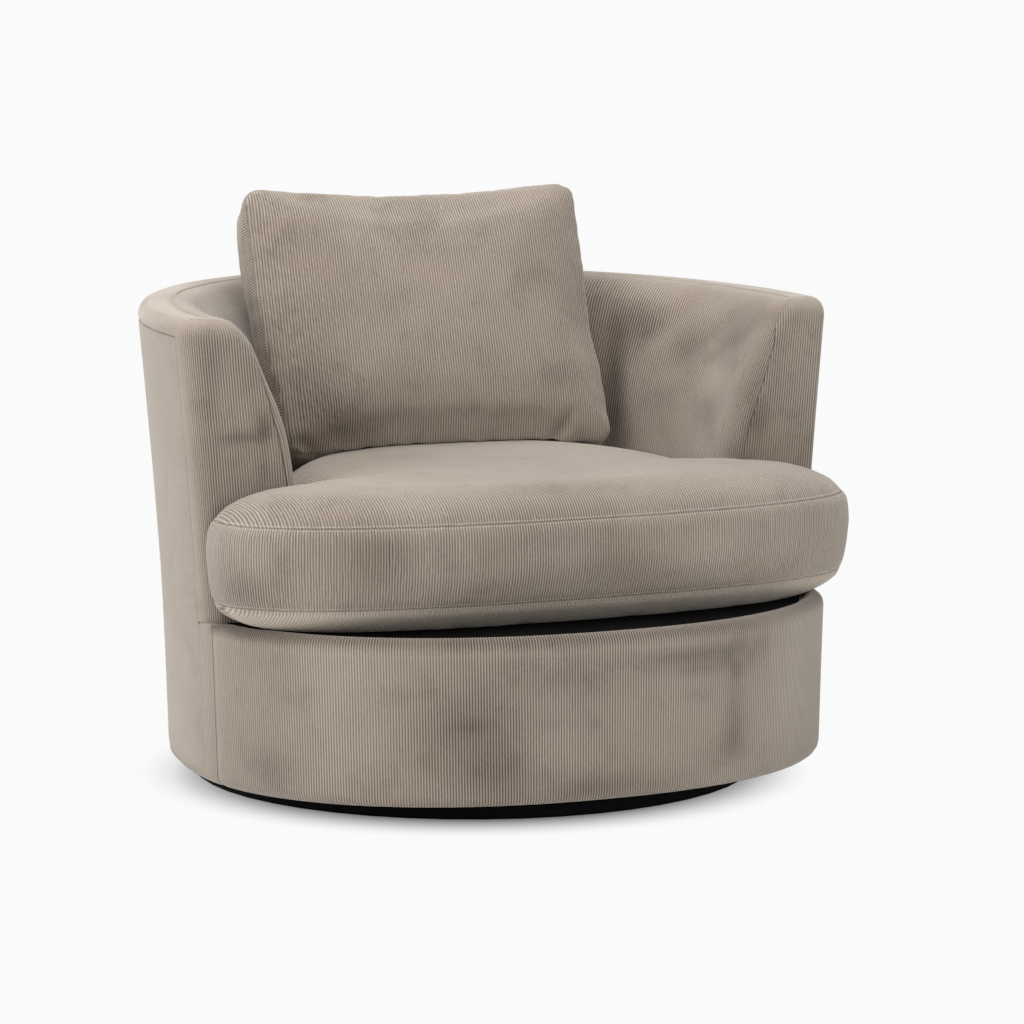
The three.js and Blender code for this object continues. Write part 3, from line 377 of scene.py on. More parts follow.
def resampled(points, shares):
    """Points at shares of the length of a smooth line through points."""
    points = np.array(points, float)
    ends = [2 * points[0] - points[1], 2 * points[-1] - points[-2]]
    padded = np.vstack([ends[0], points, ends[1]])
    fine = []
    for k in range(1, len(padded) - 2):
        before, start, end, after = padded[k - 1:k + 3]
        span = np.linalg.norm(end - start)
        into = (end - before) * span / (np.linalg.norm(start - before) + span)
        out = (after - start) * span / (np.linalg.norm(after - end) + span)
        for share in np.linspace(0, 1, 10, endpoint=False):
            rest = 1 - share
            fine.append(start * (1 + 2 * share) * rest ** 2 + end * (3 - 2 * share) * share ** 2
                        + share * rest * (into * rest - out * share))
    fine = np.array([*fine, points[-1]])
    along = lengths(fine)
    wanted = np.asarray(shares) * along[-1]
    return np.stack([np.interp(wanted, along, fine[:, axis]) for axis in range(fine.shape[1])], axis=1)


def sampled(points, share):
    """A point at a share of a line's points."""
    place = share * (len(points) - 1)
    low = min(int(place), len(points) - 2)
    return lerp(points[low], points[low + 1], place - low)


def edge_spaced(length, coarse, edges=(0, 1.5, 3.5, 7, 12)):
    """Shares of a length, close together near both ends."""
    inner = max(int(round((length - 2 * edges[-1]) / coarse)), 2)
    middle = np.linspace(edges[-1], length - edges[-1], inner + 1)[1:-1]
    places = [*edges, *middle, *[length - edge for edge in reversed(edges)]]
    return np.array(places) / length


def only(*objects):
    """Selects these objects and nothing else, the first one active."""
    bpy.ops.object.select_all(action="DESELECT")
    for item in objects:
        item.select_set(True)
    bpy.context.view_layer.objects.active = objects[0]


def modified(piece, kind, **settings):
    """Adds one modifier and applies it."""
    modifier = piece.modifiers.new(kind.lower(), kind)
    for key, value in settings.items():
        setattr(modifier, key, value)
    only(piece)
    bpy.ops.object.modifier_apply(modifier=modifier.name)


def mended(piece, merged=None, turned_out=False):
    """Joins corners that lie closer than merged, and turns all the faces outwards."""
    only(piece)
    bpy.ops.object.mode_set(mode="EDIT")
    bpy.ops.mesh.select_all(action="SELECT")
    if merged:
        bpy.ops.mesh.remove_doubles(threshold=merged)
    if turned_out:
        bpy.ops.mesh.normals_make_consistent(inside=False)
    bpy.ops.object.mode_set(mode="OBJECT")


def new_piece(name, mesh):
    piece = bpy.data.objects.new(name, mesh)
    mesh.name = name
    bpy.context.collection.objects.link(piece)
    return piece


def piece_of_faces(name, vertices, faces, merged=None):
    mesh = bpy.data.meshes.new(name)
    mesh.from_pydata(vertices, [], faces)
    piece = new_piece(name, mesh)
    mended(piece, merged, turned_out=True)
    return piece


def read(collection, name, width=3):
    values = np.empty(len(collection) * width, np.float32)
    collection.foreach_get(name, values)
    return values.reshape(-1, width).astype(float)


def dressed(piece, ribs, look):
    """Keeps what the corduroy reads at each vertex. Lengths are given in millimetres."""
    for name, vectors in (("ribs", np.asarray(ribs) * MM), ("look", np.asarray(look) * (1, 1, MM))):
        layer = piece.data.attributes.new(name, "FLOAT_VECTOR", "POINT")
        layer.data.foreach_set("vector", vectors.astype(np.float32).ravel())


def places(piece):
    return read(piece.data.vertices, "co")


def move_vertices(piece, points):
    piece.data.vertices.foreach_set("co", np.asarray(points, np.float32).ravel())
    piece.data.update()


def laid_cloth(name, points, ribs, look):
    """A sheet of cloth laid through rows of points, with its lining side inwards."""
    rows, columns = points.shape[:2]
    bpy.ops.object.select_all(action="DESELECT")
    bpy.ops.mesh.primitive_grid_add(x_subdivisions=columns - 1, y_subdivisions=rows - 1, size=1)
    piece = bpy.context.object
    piece.name = piece.data.name = name
    start = places(piece)
    column = np.rint((start[:, 0] + 0.5) * (columns - 1)).astype(int)
    row = np.rint((start[:, 1] + 0.5) * (rows - 1)).astype(int)
    move_vertices(piece, points[row, column] * MM)
    dressed(piece, ribs[row, column], look[row, column])
    modified(piece, "SOLIDIFY", thickness=CLOTH_THICKNESS, offset=-1)
    bpy.ops.object.shade_smooth_by_angle(angle=SHARP_ANGLE)
    return piece


def finished(piece, body, material, replaced=()):
    """Gives a piece its material, attaches it to its body and hides the CAD nodes it replaces."""
    piece.data.materials.clear()
    piece.data.materials.append(material)
    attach(piece, body)
    if replaced:
        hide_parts(*replaced)
    return piece


# ---------------------------------------------------------------- the tub's form, in millimetres

WIDEST_LINE_Y = -90
HEM_HALF_WIDTH, RIM_HALF_WIDTH = 463, 501
HEM_BACK_REACH, RIM_BACK_REACH = 524, 560
FRONT_REACH = 381
FRONT_ROUND_SHARE = 2.2
ARM_FRONT_Y = -155
HEM_HEIGHT = 37.6
DECK_HEIGHT = 262
SEAT_LINE_HEIGHT = 420
ARM_HEIGHT = 675
RIM_RISE = 20
WALL_THICKNESS = 149
BACK_EXTRA_THICKNESS = 38
BAND_WIDTH = 50
BAND_DROP = 24
RIM_RADIUS = 20
HEM_RADIUS = 16
HEM_RETURN = 34
ARM_PAD_DEPTH = 30
LEDGE_WIDTH = 27
LEDGE_RADIUS = 18
DECK_PAD_THICKNESS = 14
GAP = 0.3
ARM_END_AHEAD = WIDEST_LINE_Y - ARM_FRONT_Y
WALL_END_AHEAD = ARM_END_AHEAD - ARM_PAD_DEPTH - GAP
WALL_FOOT = DECK_HEIGHT - DECK_PAD_THICKNESS + GAP

flare = smooth_curve([(HEM_HEIGHT, 0), (DECK_HEIGHT, 0.19), (SEAT_LINE_HEIGHT, 0.45), (ARM_HEIGHT, 1)])
# How far the wall's inner face has leant out towards the rim band, by height over the seat line
inner_share = smooth_curve(
    [(0, 0), (0.3, 0.05), (0.55, 0.2), (0.74, 0.36), (0.88, 0.49), (0.985, 0.74), (1, 1)])


def tub_point(station, inset, z):
    """A point of the wall. station is ("ahead", side, ahead of the widest line) or ("back", angle)."""
    width = lerp(HEM_HALF_WIDTH, RIM_HALF_WIDTH, flare(z))
    if station[0] == "ahead":
        _, side, ahead = station
        x = width * (1 - (ahead / FRONT_REACH) ** FRONT_ROUND_SHARE) ** (1 / FRONT_ROUND_SHARE)
        return np.array([side * (x - inset), WIDEST_LINE_Y - ahead, z])
    angle = station[1]
    reach = lerp(HEM_BACK_REACH, RIM_BACK_REACH, flare(z))
    normal = np.array([math.cos(angle) / width, math.sin(angle) / reach])
    normal /= np.linalg.norm(normal)
    return np.array([
        width * math.cos(angle) - inset * normal[0],
        WIDEST_LINE_Y + reach * math.sin(angle) - inset * normal[1],
        z,
    ])


def rim_height(station):
    y = tub_point(station, 0, ARM_HEIGHT)[1]
    return ARM_HEIGHT + RIM_RISE * (y - ARM_FRONT_Y) / (WIDEST_LINE_Y + RIM_BACK_REACH - ARM_FRONT_Y)


def full_thickness(station):
    backness = math.sin(station[1]) ** 2 if station[0] == "back" else 0
    return WALL_THICKNESS + BACK_EXTRA_THICKNESS * backness


def inner_inset(station, z):
    rim = rim_height(station)
    share = min(max((z - SEAT_LINE_HEIGHT) / (rim - SEAT_LINE_HEIGHT), 0), 1)
    return lerp(full_thickness(station), BAND_WIDTH, inner_share(share))


def tub_stations(end_ahead=WALL_END_AHEAD, spacing=13, turns=118):
    """Stations from the right arm round the back to the left one, close together at both ends."""
    ahead = end_ahead * (1 - edge_spaced(end_ahead, spacing, (0, 2, 5, 9, 14))[:-5])
    return (
        [("ahead", 1, value) for value in ahead]
        + [("back", turn) for turn in np.linspace(0, math.pi, turns)]
        + [("ahead", -1, value) for value in ahead[::-1]]
    )


def arc(radius, steps):
    """Quarter circle from straight up the outside to level at the top, as (inset, drop) pairs."""
    turns = np.linspace(0, math.pi / 2, steps + 1)
    return [(radius * (1 - math.cos(turn)), radius * (1 - math.sin(turn))) for turn in turns]


def outward_of(points):
    """Outward directions of a grid of points."""
    normal = np.cross(np.gradient(points, axis=1), np.gradient(points, axis=0))
    return normal / np.maximum(np.linalg.norm(normal, axis=2, keepdims=True), 1e-9)


def drawn_in(points, outward, seam, depth, reach):
    """Points pulled in along their seams."""
    return points - outward * (depth * np.exp(-(np.abs(seam) / reach) ** 1.4))[..., None]


# ---------------------------------------------------------------- covers of the tub

def swept(section, coarse):
    """Points of a cover swept round the tub, their places across the ribs and along them.
    section(station) gives a line of (inset, z) from its upper or outer edge to the other one."""
    stations = tub_stations()
    shares = edge_spaced(lengths(section(stations[len(stations) // 2]))[-1], coarse)
    points = np.array([
        [tub_point(station, inset, z) for inset, z in resampled(section(station), shares)]
        for station in stations
    ]).transpose(1, 0, 2)
    along = np.stack([lengths(points[:, k]) for k in range(points.shape[1])], axis=1)
    return points, ribs_across(points), along


def ribs_across(points):
    """How far along the middle one of its rows each point of a grid lies."""
    rows = len(points)
    return np.tile(lengths(points[rows // 2]), (rows, 1))


def cover(name, node, material, points, ribs, strength, seam, painted_light=0, drawn=()):
    """Wears it and paints shade into it, draws in and lays one cover. ribs is (across, other across,
    beyond), or across alone. drawn holds each seam's distances, its depth and its reach;
    painted_light is painted light and shade added to the cloth's tone."""
    outward = outward_of(points)
    points, shade = worn_and_shaded(points, outward, 0 * seam)
    for distances, depth, reach in drawn:
        points = drawn_in(points, outward, distances, depth, reach)
    across, other_across, beyond = ribs if isinstance(ribs, tuple) else (ribs, ribs, 0 * seam - FAR)
    piece = laid_cloth(name, points, np.stack([across, other_across, beyond], axis=2),
                       np.stack([0 * seam + strength, shade + painted_light, seam], axis=2))
    return finished(piece, "chair", material, [node])


SIDE_RIBS, BAND_RIBS = 0.6, 0.14      # how strongly the ribs show there
OUTER_SEAM_FADE = 0.8                 # keeps the seam under the rim band faint
INNER_SEAM_DRAW = (2.4, 3.6)


def inner_seam_fade(points):
    """Added to the distance to the inner seam, which hardly shows along the right arm's front."""
    return 4 * (1 - rise(points[..., 1], 140, 190)) * (points[..., 0] < 0)


def hem_section():
    """The cloth turned in under the chair and round the hem, as (inset, z) pairs."""
    hem = [(inset, HEM_HEIGHT + up) for inset, up in arc(HEM_RADIUS, 5)]
    return [(HEM_RETURN, HEM_HEIGHT), *reversed(hem)]


def add_outer_cloth(material):
    def section(station):
        top = rim_height(station) - BAND_DROP - GAP
        levels = [HEM_HEIGHT + 60, 150, DECK_HEIGHT, 340, SEAT_LINE_HEIGHT, 500, 580, top]
        return [*hem_section(), *[(0, z) for z in levels]]

    points, across, along = swept(section, 13)
    seam = along[-1] - along + OUTER_SEAM_FADE
    cover("outer_cloth", "outer_cover", material, points, across, SIDE_RIBS, seam,
          drawn=[(seam, 1.3, 2.6)])


def add_rim_band(material):
    def section(station):
        rim = rim_height(station)
        round_edge = [(inset, rim - drop) for inset, drop in arc(RIM_RADIUS, 6)]
        return [(0, rim - BAND_DROP), *round_edge, (BAND_WIDTH * 0.7, rim), (BAND_WIDTH - GAP, rim)]

    points, _, along = swept(section, 6)
    inner = along[-1] - along
    seam = np.minimum(along + OUTER_SEAM_FADE, inner * 0.7 + inner_seam_fade(points))
    # 0.03 is painted light on the band's top, which faces the light from above
    cover("rim_band", "top_band", material, points, along, BAND_RIBS, seam, 0.03,
          [(along, 1.1, 2.4), (inner, *INNER_SEAM_DRAW)])


def add_inner_cloth(material):
    def section(station):
        rim = rim_height(station)
        shares = [1, 0.985, 0.95, 0.88, 0.8, 0.7, 0.6, 0.45, 0.3, 0.15, 0]
        face = [lerp(SEAT_LINE_HEIGHT, rim, share) for share in shares]
        return [(inner_inset(station, z), z) for z in [*face, 340, WALL_FOOT]]

    points, across, along = swept(section, 10)
    strength = lerp(0.85, 1, rise(along, 0, 40))
    return cover("inner_cloth", "inner_cover", material, points, across, strength,
                 along * 0.7 + inner_seam_fade(points), drawn=[(along, *INNER_SEAM_DRAW)])


# How far an arm's front is rounded at its outer edge, its top and its inner edge
ARM_ROUNDING = {1: (10, 22, 22), -1: (23, 25, 14)}
# How wide the strip beside an arm's inner edge is, by the drop from the rim
ARM_STRIPS = {
    1: [(0, -2), (10, 7), (67, 28), (117, 32), (162, 32), (207, 26), (420, 24)],
    -1: [(0, -5), (25, 0), (42, 5), (66, 10), (90, 14), (138, 19), (173, 21), (218, 19), (420, 18)],
}
ARM_SEAM_THINNESS = {1: 2.4, -1: 0.8}
ARM_SIDE_RIBS, ARM_TOP_RIBS = 0.4, 0.15   # how strongly the ribs show there
ARM_TOP_ROLL = (4, 26)                    # how far below the rim the ribs grow stronger
ARM_FACE_ROWS, ARM_SKIRT_RINGS = 41, 8


def arm_outline(side, ahead, turn, count):
    """The outline of an arm's front, from its lower outer corner up, over and down inside, in
    four sides: outer edge, top, inner edge, foot. turn goes from the skirt to the face."""
    station = ("ahead", side, ahead)
    rim = rim_height(station)
    foot = DECK_HEIGHT + GAP
    rounded = 1 - math.cos(turn)
    outside, dropped, inside = (reach * rounded for reach in ARM_ROUNDING[side])
    radius = RIM_RADIUS - 7 * rounded
    outer = [(outside, z) for z in (foot, 340, SEAT_LINE_HEIGHT, 540, rim - dropped - radius)]
    corner = [(outside + inset, rim - dropped - drop) for inset, drop in arc(radius, 6)]

    def inner_point(share):
        z = lerp(SEAT_LINE_HEIGHT, rim, share)
        drop = dropped * rise(share, 0.45, 1) ** 2
        return (inner_inset(station, z) - inside, z - drop)
    top = [*corner, (BAND_WIDTH - inside / 2, rim - dropped)]
    top += [inner_point(share) for share in (0.985, 0.95, 0.88, 0.8)]
    inner = [inner_point(share) for share in (0.8, 0.7, 0.55, 0.4, 0.25, 0.1)]
    inner += [(full_thickness(station) - inside, z) for z in (400, 330, foot)]
    shares = np.linspace(0, 1, count)
    straight = [lerp(np.array(inner[-1], float), np.array(outer[0], float), share) for share in shares]
    flat = [resampled(line, shares) for line in (outer, top, inner)] + [straight]
    return [np.array([tub_point(station, d, z) for d, z in line]) for line in flat]


def filled(rings, count, skirt):
    """A grid whose outer rings run round the arm's edge and whose middle fills its front."""
    left, top, right, foot = rings[skirt]
    size = count + 2 * skirt
    points = np.zeros((size, size, 3))
    for row in range(size):
        for column in range(size):
            ring = min(row, column, size - 1 - row, size - 1 - column)
            if ring >= skirt:
                i, j = row - skirt, column - skirt
                u, v = j / (count - 1), i / (count - 1)
                points[row, column] = (
                    (1 - u) * left[i] + u * right[count - 1 - i]
                    + (1 - v) * foot[count - 1 - j] + v * top[j]
                    - (1 - u) * (1 - v) * left[0] - u * (1 - v) * right[-1]
                    - (1 - u) * v * left[-1] - u * v * right[0])
                continue
            span = size - 1 - 2 * ring
            a, b = (row - ring) / span, (column - ring) / span
            if column == ring:
                points[row, column] = sampled(rings[ring][0], a)
            elif row == size - 1 - ring:
                points[row, column] = sampled(rings[ring][1], b)
            elif column == size - 1 - ring:
                points[row, column] = sampled(rings[ring][2], 1 - a)
            else:
                points[row, column] = sampled(rings[ring][3], 1 - b)
    return points


def add_arm_fronts(material):
    count, skirt = ARM_FACE_ROWS, ARM_SKIRT_RINGS
    for label, side in (("right", 1), ("left", -1)):
        rings = []
        for step in range(skirt + 1):
            turn = math.pi / 2 * step / skirt
            ahead = ARM_END_AHEAD - ARM_PAD_DEPTH * (1 - math.sin(turn))
            rings.append(arm_outline(side, ahead, turn, count))
        points = filled(rings, count, skirt)[:, ::-side]
        behind = ARM_END_AHEAD - (WIDEST_LINE_Y - points[..., 1])
        inset, inwards = np.zeros(behind.shape), np.zeros(behind.shape)
        for place in np.ndindex(behind.shape):
            x, y, z = points[place]
            station = ("ahead", side, WIDEST_LINE_Y - y)
            inset[place] = abs(tub_point(station, 0, z)[0]) - abs(x)
            inwards[place] = inner_inset(station, z) - inset[place]
        near_outside = inset < inwards
        from_inside = inwards - behind * ~near_outside
        below = rim_height(("ahead", side, ARM_END_AHEAD)) - points[..., 2]
        beyond = np.interp(below, *np.array(ARM_STRIPS[side], float).T) - from_inside
        seam = beyond * (ARM_SEAM_THINNESS[side] + 3 * (1 - rise(below, 20, 40)))
        on_face = 1 - rise(behind, 3.6, 21.6)
        side_strength = np.where(near_outside, ARM_SIDE_RIBS, 1)
        strength = lerp(ARM_TOP_RIBS, lerp(side_strength, 1, on_face), rise(below, *ARM_TOP_ROLL))
        # painted light: the strip beside the left arm's inner edge and the outer rounding of its front
        # are painted lighter, standing in for the light that falls on them
        painted_light = 0.04 * rise(beyond, 0, 6) + 0.10 * (1 - on_face) * near_outside
        cover(f"arm_front_{label}", f"arm_front_cover_{label}", material, points,
              (inset - behind * near_outside, from_inside, beyond), strength, seam, painted_light * (side < 0),
              [(seam, 1.5, 2.8)])


# ---------------------------------------------------------------- front of the base

def front_point(bow, inset, z):
    """bow is an angle round the front."""
    cosine, sine = math.cos(bow), math.sin(bow)
    side = -1 if cosine > 0 else 1
    across, out = abs(cosine) ** (2 / FRONT_ROUND_SHARE), sine ** (2 / FRONT_ROUND_SHARE)
    width = lerp(HEM_HALF_WIDTH, RIM_HALF_WIDTH, flare(z))
    power = FRONT_ROUND_SHARE - 1
    normal = np.array([side * across ** power / width, -(out ** power) / FRONT_REACH])
    normal /= np.linalg.norm(normal)
    x, y = side * across * width, WIDEST_LINE_Y - out * FRONT_REACH
    return np.array([x - inset * normal[0], y - inset * normal[1], z])


SIDE_WRAP = 38           # how far the side's cloth goes round the front's corners, up to its seam
SIDE_LEDGE_RADIUS = 3    # the ledge's edge is sharper there
LEDGE_PUFF = 4           # how far the ledge's edge stands over the deck in the middle


def add_front(material):
    """The bowed front under the cushion: up from the hem, over the ledge and in under the deck."""
    start = math.asin(((WALL_END_AHEAD + GAP) / FRONT_REACH) ** (FRONT_ROUND_SHARE / 2))
    turns = start + (math.pi - 2 * start) * edge_spaced(1300, 9)

    def section(radius, puff):
        ledge = [(inset, DECK_HEIGHT + puff - drop) for inset, drop in arc(radius, 7)]
        return [*hem_section(), (0, 100), (0, 150), (0, 200), *ledge, (LEDGE_WIDTH, DECK_HEIGHT)]

    shares = edge_spaced(lengths(section(LEDGE_RADIUS, 0))[-1], 6)
    from_end = lengths([front_point(turn, 0, 150) for turn in turns])
    from_end = np.minimum(from_end, from_end[-1] - from_end)
    radii = lerp(SIDE_LEDGE_RADIUS, LEDGE_RADIUS, rise(from_end, SIDE_WRAP - 4, SIDE_WRAP + 10))
    puffs = LEDGE_PUFF * rise(from_end, 70, 150)
    points = np.array([
        [front_point(turn, inset, z) for inset, z in resampled(section(radius, puff), shares)]
        for turn, radius, puff in zip(turns, radii, puffs)
    ]).transpose(1, 0, 2)
    across = ribs_across(points)
    below = DECK_HEIGHT - points[..., 2]
    seam = (np.minimum(across, across[:, -1:] - across) - SIDE_WRAP) * 0.8
    # painted shade on the ledge's top where the cushion shades it, and a faint lighter line 17 mm below
    # the deck, both fading out at the side seams
    ledge_shade_and_line = 0.05 * np.exp(-((below - 17) / 3) ** 2) - 0.34 * np.exp(-(below / 9) ** 2)
    cover("front_cloth", "front_cover", material, points, across,
          lerp(SIDE_RIBS, 1, rise(seam, 0, 110)), seam, ledge_shade_and_line * rise(seam, -6, 0), [(seam, 1.4, 2.8)])


# ---------------------------------------------------------------- pieces from a node's own form

def copy_of(node, name):
    """A copy of a CAD node's mesh with its loose triangles joined up."""
    piece = new_piece(name, frame["nodes"][node].data.copy())
    mended(piece, merged=1e-5)
    bpy.ops.mesh.customdata_custom_splitnormals_clear()
    return piece


def remeshed(piece, voxel):
    modified(piece, "REMESH", mode="VOXEL", voxel_size=voxel)


SPRING_SPACING = 140


def add_deck_and_foam(looks):
    """The felt deck under its cloth, made nearly black as painted shade for the gap under the
    cushion, and the cut foam inside the wall and the front.
    """
    deck = copy_of("deck_pad", "deck_felt")
    remeshed(deck, 6 * MM)
    modified(deck, "SMOOTH", factor=0.5, iterations=3)
    points = places(deck) / MM
    waves = np.cos(points[:, 0] * (2 * math.pi / SPRING_SPACING))
    hollows = waves * np.exp(-((points[:, 1] + 60) / 240) ** 4)
    on_springs = (points[:, 2] > DECK_HEIGHT - 4) * (np.abs(points[:, 0]) < 2 * SPRING_SPACING + 10)
    points[:, 2] -= (hollows + 1) * on_springs
    move_vertices(deck, points * MM)
    bpy.ops.object.shade_smooth_by_angle(angle=math.radians(60))
    finished(deck, "chair", looks["deck_cloth"], ["deck_pad"])
    for node, name in (("arm_back_foam", "wall_foam"), ("front_foam", "front_padding")):
        foam = copy_of(node, name)
        modified(foam, "SUBSURF", subdivision_type="SIMPLE", levels=1, render_levels=1)
        modified(foam, "BEVEL", width=0.2 * MM, segments=1, limit_method="ANGLE",
                 angle_limit=math.radians(50))
        bpy.ops.object.shade_smooth_by_angle(angle=SHARP_ANGLE)
        finished(foam, "chair", looks["foam"], [node])


# ---------------------------------------------------------------- stuffed pieces

def ring_body(name, rings, first, last):
    """A closed body of rings of points, closed at each end by one point, in metres."""
    size = len(rings[0])
    vertices = [tuple(p) for ring in rings for p in ring] + [tuple(first), tuple(last)]
    faces = []
    for ring in range(len(rings) - 1):
        for k in range(size):
            a, b = ring * size + k, ring * size + (k + 1) % size
            faces.append((a, b, b + size, a + size))
    end = len(rings) * size
    for k in range(size):
        after = (k + 1) % size
        faces.append((end, after, k))
        faces.append((end + 1, end - size + k, end - size + after))
    return piece_of_faces(name, vertices, faces)


def stuffed(piece, voxel, pressure, cap, frames=20):
    """Remeshes a closed form evenly and blows it up as cloth, each point by cap at the most."""
    remeshed(piece, voxel)
    start = places(piece)
    cloth = piece.modifiers.new("stuffing", "CLOTH")
    cloth.settings.use_pressure = True
    cloth.settings.uniform_pressure_force = pressure
    cloth.settings.effector_weights.gravity = 0
    cloth.settings.quality = 5
    cloth.settings.mass = 0.3
    cloth.settings.tension_stiffness = cloth.settings.compression_stiffness = 15
    cloth.settings.bending_stiffness = 0.6
    cloth.point_cache.frame_start, cloth.point_cache.frame_end = 1, frames
    for step in range(1, frames + 1):
        bpy.context.scene.frame_set(step)
    only(piece)
    bpy.ops.object.modifier_apply(modifier=cloth.name)
    bpy.context.scene.frame_set(1)
    move = places(piece) - start
    length = np.maximum(np.linalg.norm(move, axis=1, keepdims=True), 1e-9)
    move_vertices(piece, start + move * cap * np.tanh(length / cap) / length)


def subdivide_once(piece):
    modified(piece, "SUBSURF", levels=1, render_levels=1)
    bpy.ops.object.shade_smooth()


def puckers(beyond, around, reach, waves, wander):
    """Small waves beside the seams."""
    drift = wander[0] * np.sin(around * wander[1])
    return np.exp(-(np.abs(beyond) / reach) ** 1.5) * np.sin(around * waves + drift)


def round_outline(points, outline):
    """How far round a closed outline each point lies, from the outline's nearest place."""
    closed = np.vstack([outline, outline[:1]])
    along = lengths(closed)
    wanted = np.linspace(0, 1, 1600, endpoint=False) * along[-1]
    fine = np.stack([np.interp(wanted, along, column) for column in closed.T], axis=1)
    tree = KDTree(len(fine))
    for k, (x, y) in enumerate(fine):
        tree.insert((x, y, 0), k)
    tree.balance()
    nearest = np.array([tree.find((x, y, 0))[1] for x, y in points])
    step = along[-1] / len(fine)
    ahead = fine[(nearest + 1) % len(fine)] - fine[nearest]
    ahead /= np.maximum(np.linalg.norm(ahead, axis=1, keepdims=True), 1e-9)
    return nearest * step + np.clip(((points - fine[nearest]) * ahead).sum(axis=1), -step, step)


def pushed_clear(piece, solids, room):
    """Moves the points that lie inside other pieces out to their surface."""
    points = places(piece)
    for solid in solids:
        tree = BVHTree.FromObject(solid, bpy.context.evaluated_depsgraph_get())
        for k, point in enumerate(points):
            hit, normal, _, _ = tree.find_nearest(Vector(point), 0.12)
            if hit is not None and (Vector(point) - hit).dot(normal) < room:
                points[k] = hit + normal * room
    move_vertices(piece, points)


EAR_HALF_WIDTH = HEM_HALF_WIDTH + 17
EAR_RADIUS = 48
EAR_REAR_Y = ARM_FRONT_Y - 4 * GAP
EAR_LINE_Y = EAR_REAR_Y - EAR_RADIUS
FRONT_OF_ARMS_Y = -230
CUSHION_MIDDLE_Y = EAR_LINE_Y + EAR_RADIUS / 2
CUSHION_PLAY = 8
CUSHION_CROWN = 9        # how much higher it is stuffed before the pillow
CUSHION_RIBS, PILLOW_RIBS = 0.95, 0.85   # how strongly the ribs show there
CUSHION_FRONT_REACH = 196
CUSHION_FRONT_SHARE = 2.4
CUSHION_SEAMS = (290, 405)
CUSHION_STITCHED = (298, 410)   # where its seams lie once it is stuffed
CUSHION_LEVELS = (DECK_HEIGHT + GAP, *CUSHION_SEAMS, CUSHION_SEAMS[1] + 48)
# Each ring's share of the outline across and ahead, and its place between the levels
CUSHION_RING_SHARES = [
    (0.4, 0.33, 0), (0.81, 0.68, 0), (0.9, 0.79, 0.16), (0.945, 0.85, 0.5), (0.975, 0.9, 0.84),
    (0.985, 0.92, 1), (0.997, 0.955, 1.16), (1.006, 0.985, 1.4), (1.011, 1.008, 1.68),
    (1.006, 1.01, 1.88), (1, 1, 2), (0.985, 0.982, 2.13), (0.95, 0.945, 2.42), (0.9, 0.9, 2.64),
    (0.83, 0.83, 2.8), (0.65, 0.65, 2.95), (0.3, 0.3, 3),
]


def cushion_outline(z):
    """The T-shaped outline, from the right arm round the back, the left ear and the front."""
    right, left = (("ahead", side, ARM_END_AHEAD) for side in (1, -1))
    stations = [right, *tub_stations(WALL_END_AHEAD, 20, 70), left]
    back = [tub_point(s, full_thickness(s) + CUSHION_PLAY, z) for s in stations]

    def ear(side):
        return [np.array([side * (EAR_HALF_WIDTH - EAR_RADIUS + EAR_RADIUS * math.cos(turn)),
                          EAR_LINE_Y + EAR_RADIUS * math.sin(turn), z])
                for turn in np.linspace(math.pi / 2, 0, 9)]

    front = []
    for turn in np.linspace(0, math.pi, 70)[1:-1]:
        across = abs(math.cos(turn)) ** (2 / CUSHION_FRONT_SHARE) * (-1 if math.cos(turn) > 0 else 1)
        out = math.sin(turn) ** (2 / CUSHION_FRONT_SHARE)
        front.append(np.array([EAR_HALF_WIDTH * across, EAR_LINE_Y - CUSHION_FRONT_REACH * out, z]))
    return (
        [(p, "wall") for p in back]
        + [(np.array([back[-1][0], EAR_REAR_Y, z]), "ear")] + [(p, "ear") for p in ear(-1)]
        + [(p, "front") for p in front]
        + [(p, "ear") for p in ear(1)[::-1]] + [(np.array([back[0][0], EAR_REAR_Y, z]), "ear")]
    )


def cushion_ring(across, ahead, step):
    low = min(int(step), 2)
    z = lerp(CUSHION_LEVELS[low], CUSHION_LEVELS[low + 1], step - low)
    ring = []
    for point, part in cushion_outline(z):
        along = ahead if point[1] < EAR_LINE_Y else across
        wide = min(across, 1) if part == "wall" else across
        long = along if part == "front" else min(along, 1)
        y = CUSHION_MIDDLE_Y + (point[1] - CUSHION_MIDDLE_Y) * long
        ring.append((point[0] * wide * MM, y * MM, point[2] * MM))
    return ring


ZIP_MIDDLE_Y = -55
ZIP_RADIUS = 305.4       # the back border stays inside this, so that the zip lies on it
ZIP_HALF_ANGLE = math.radians(27)
ZIP_HEIGHT = sum(CUSHION_SEAMS) / 2


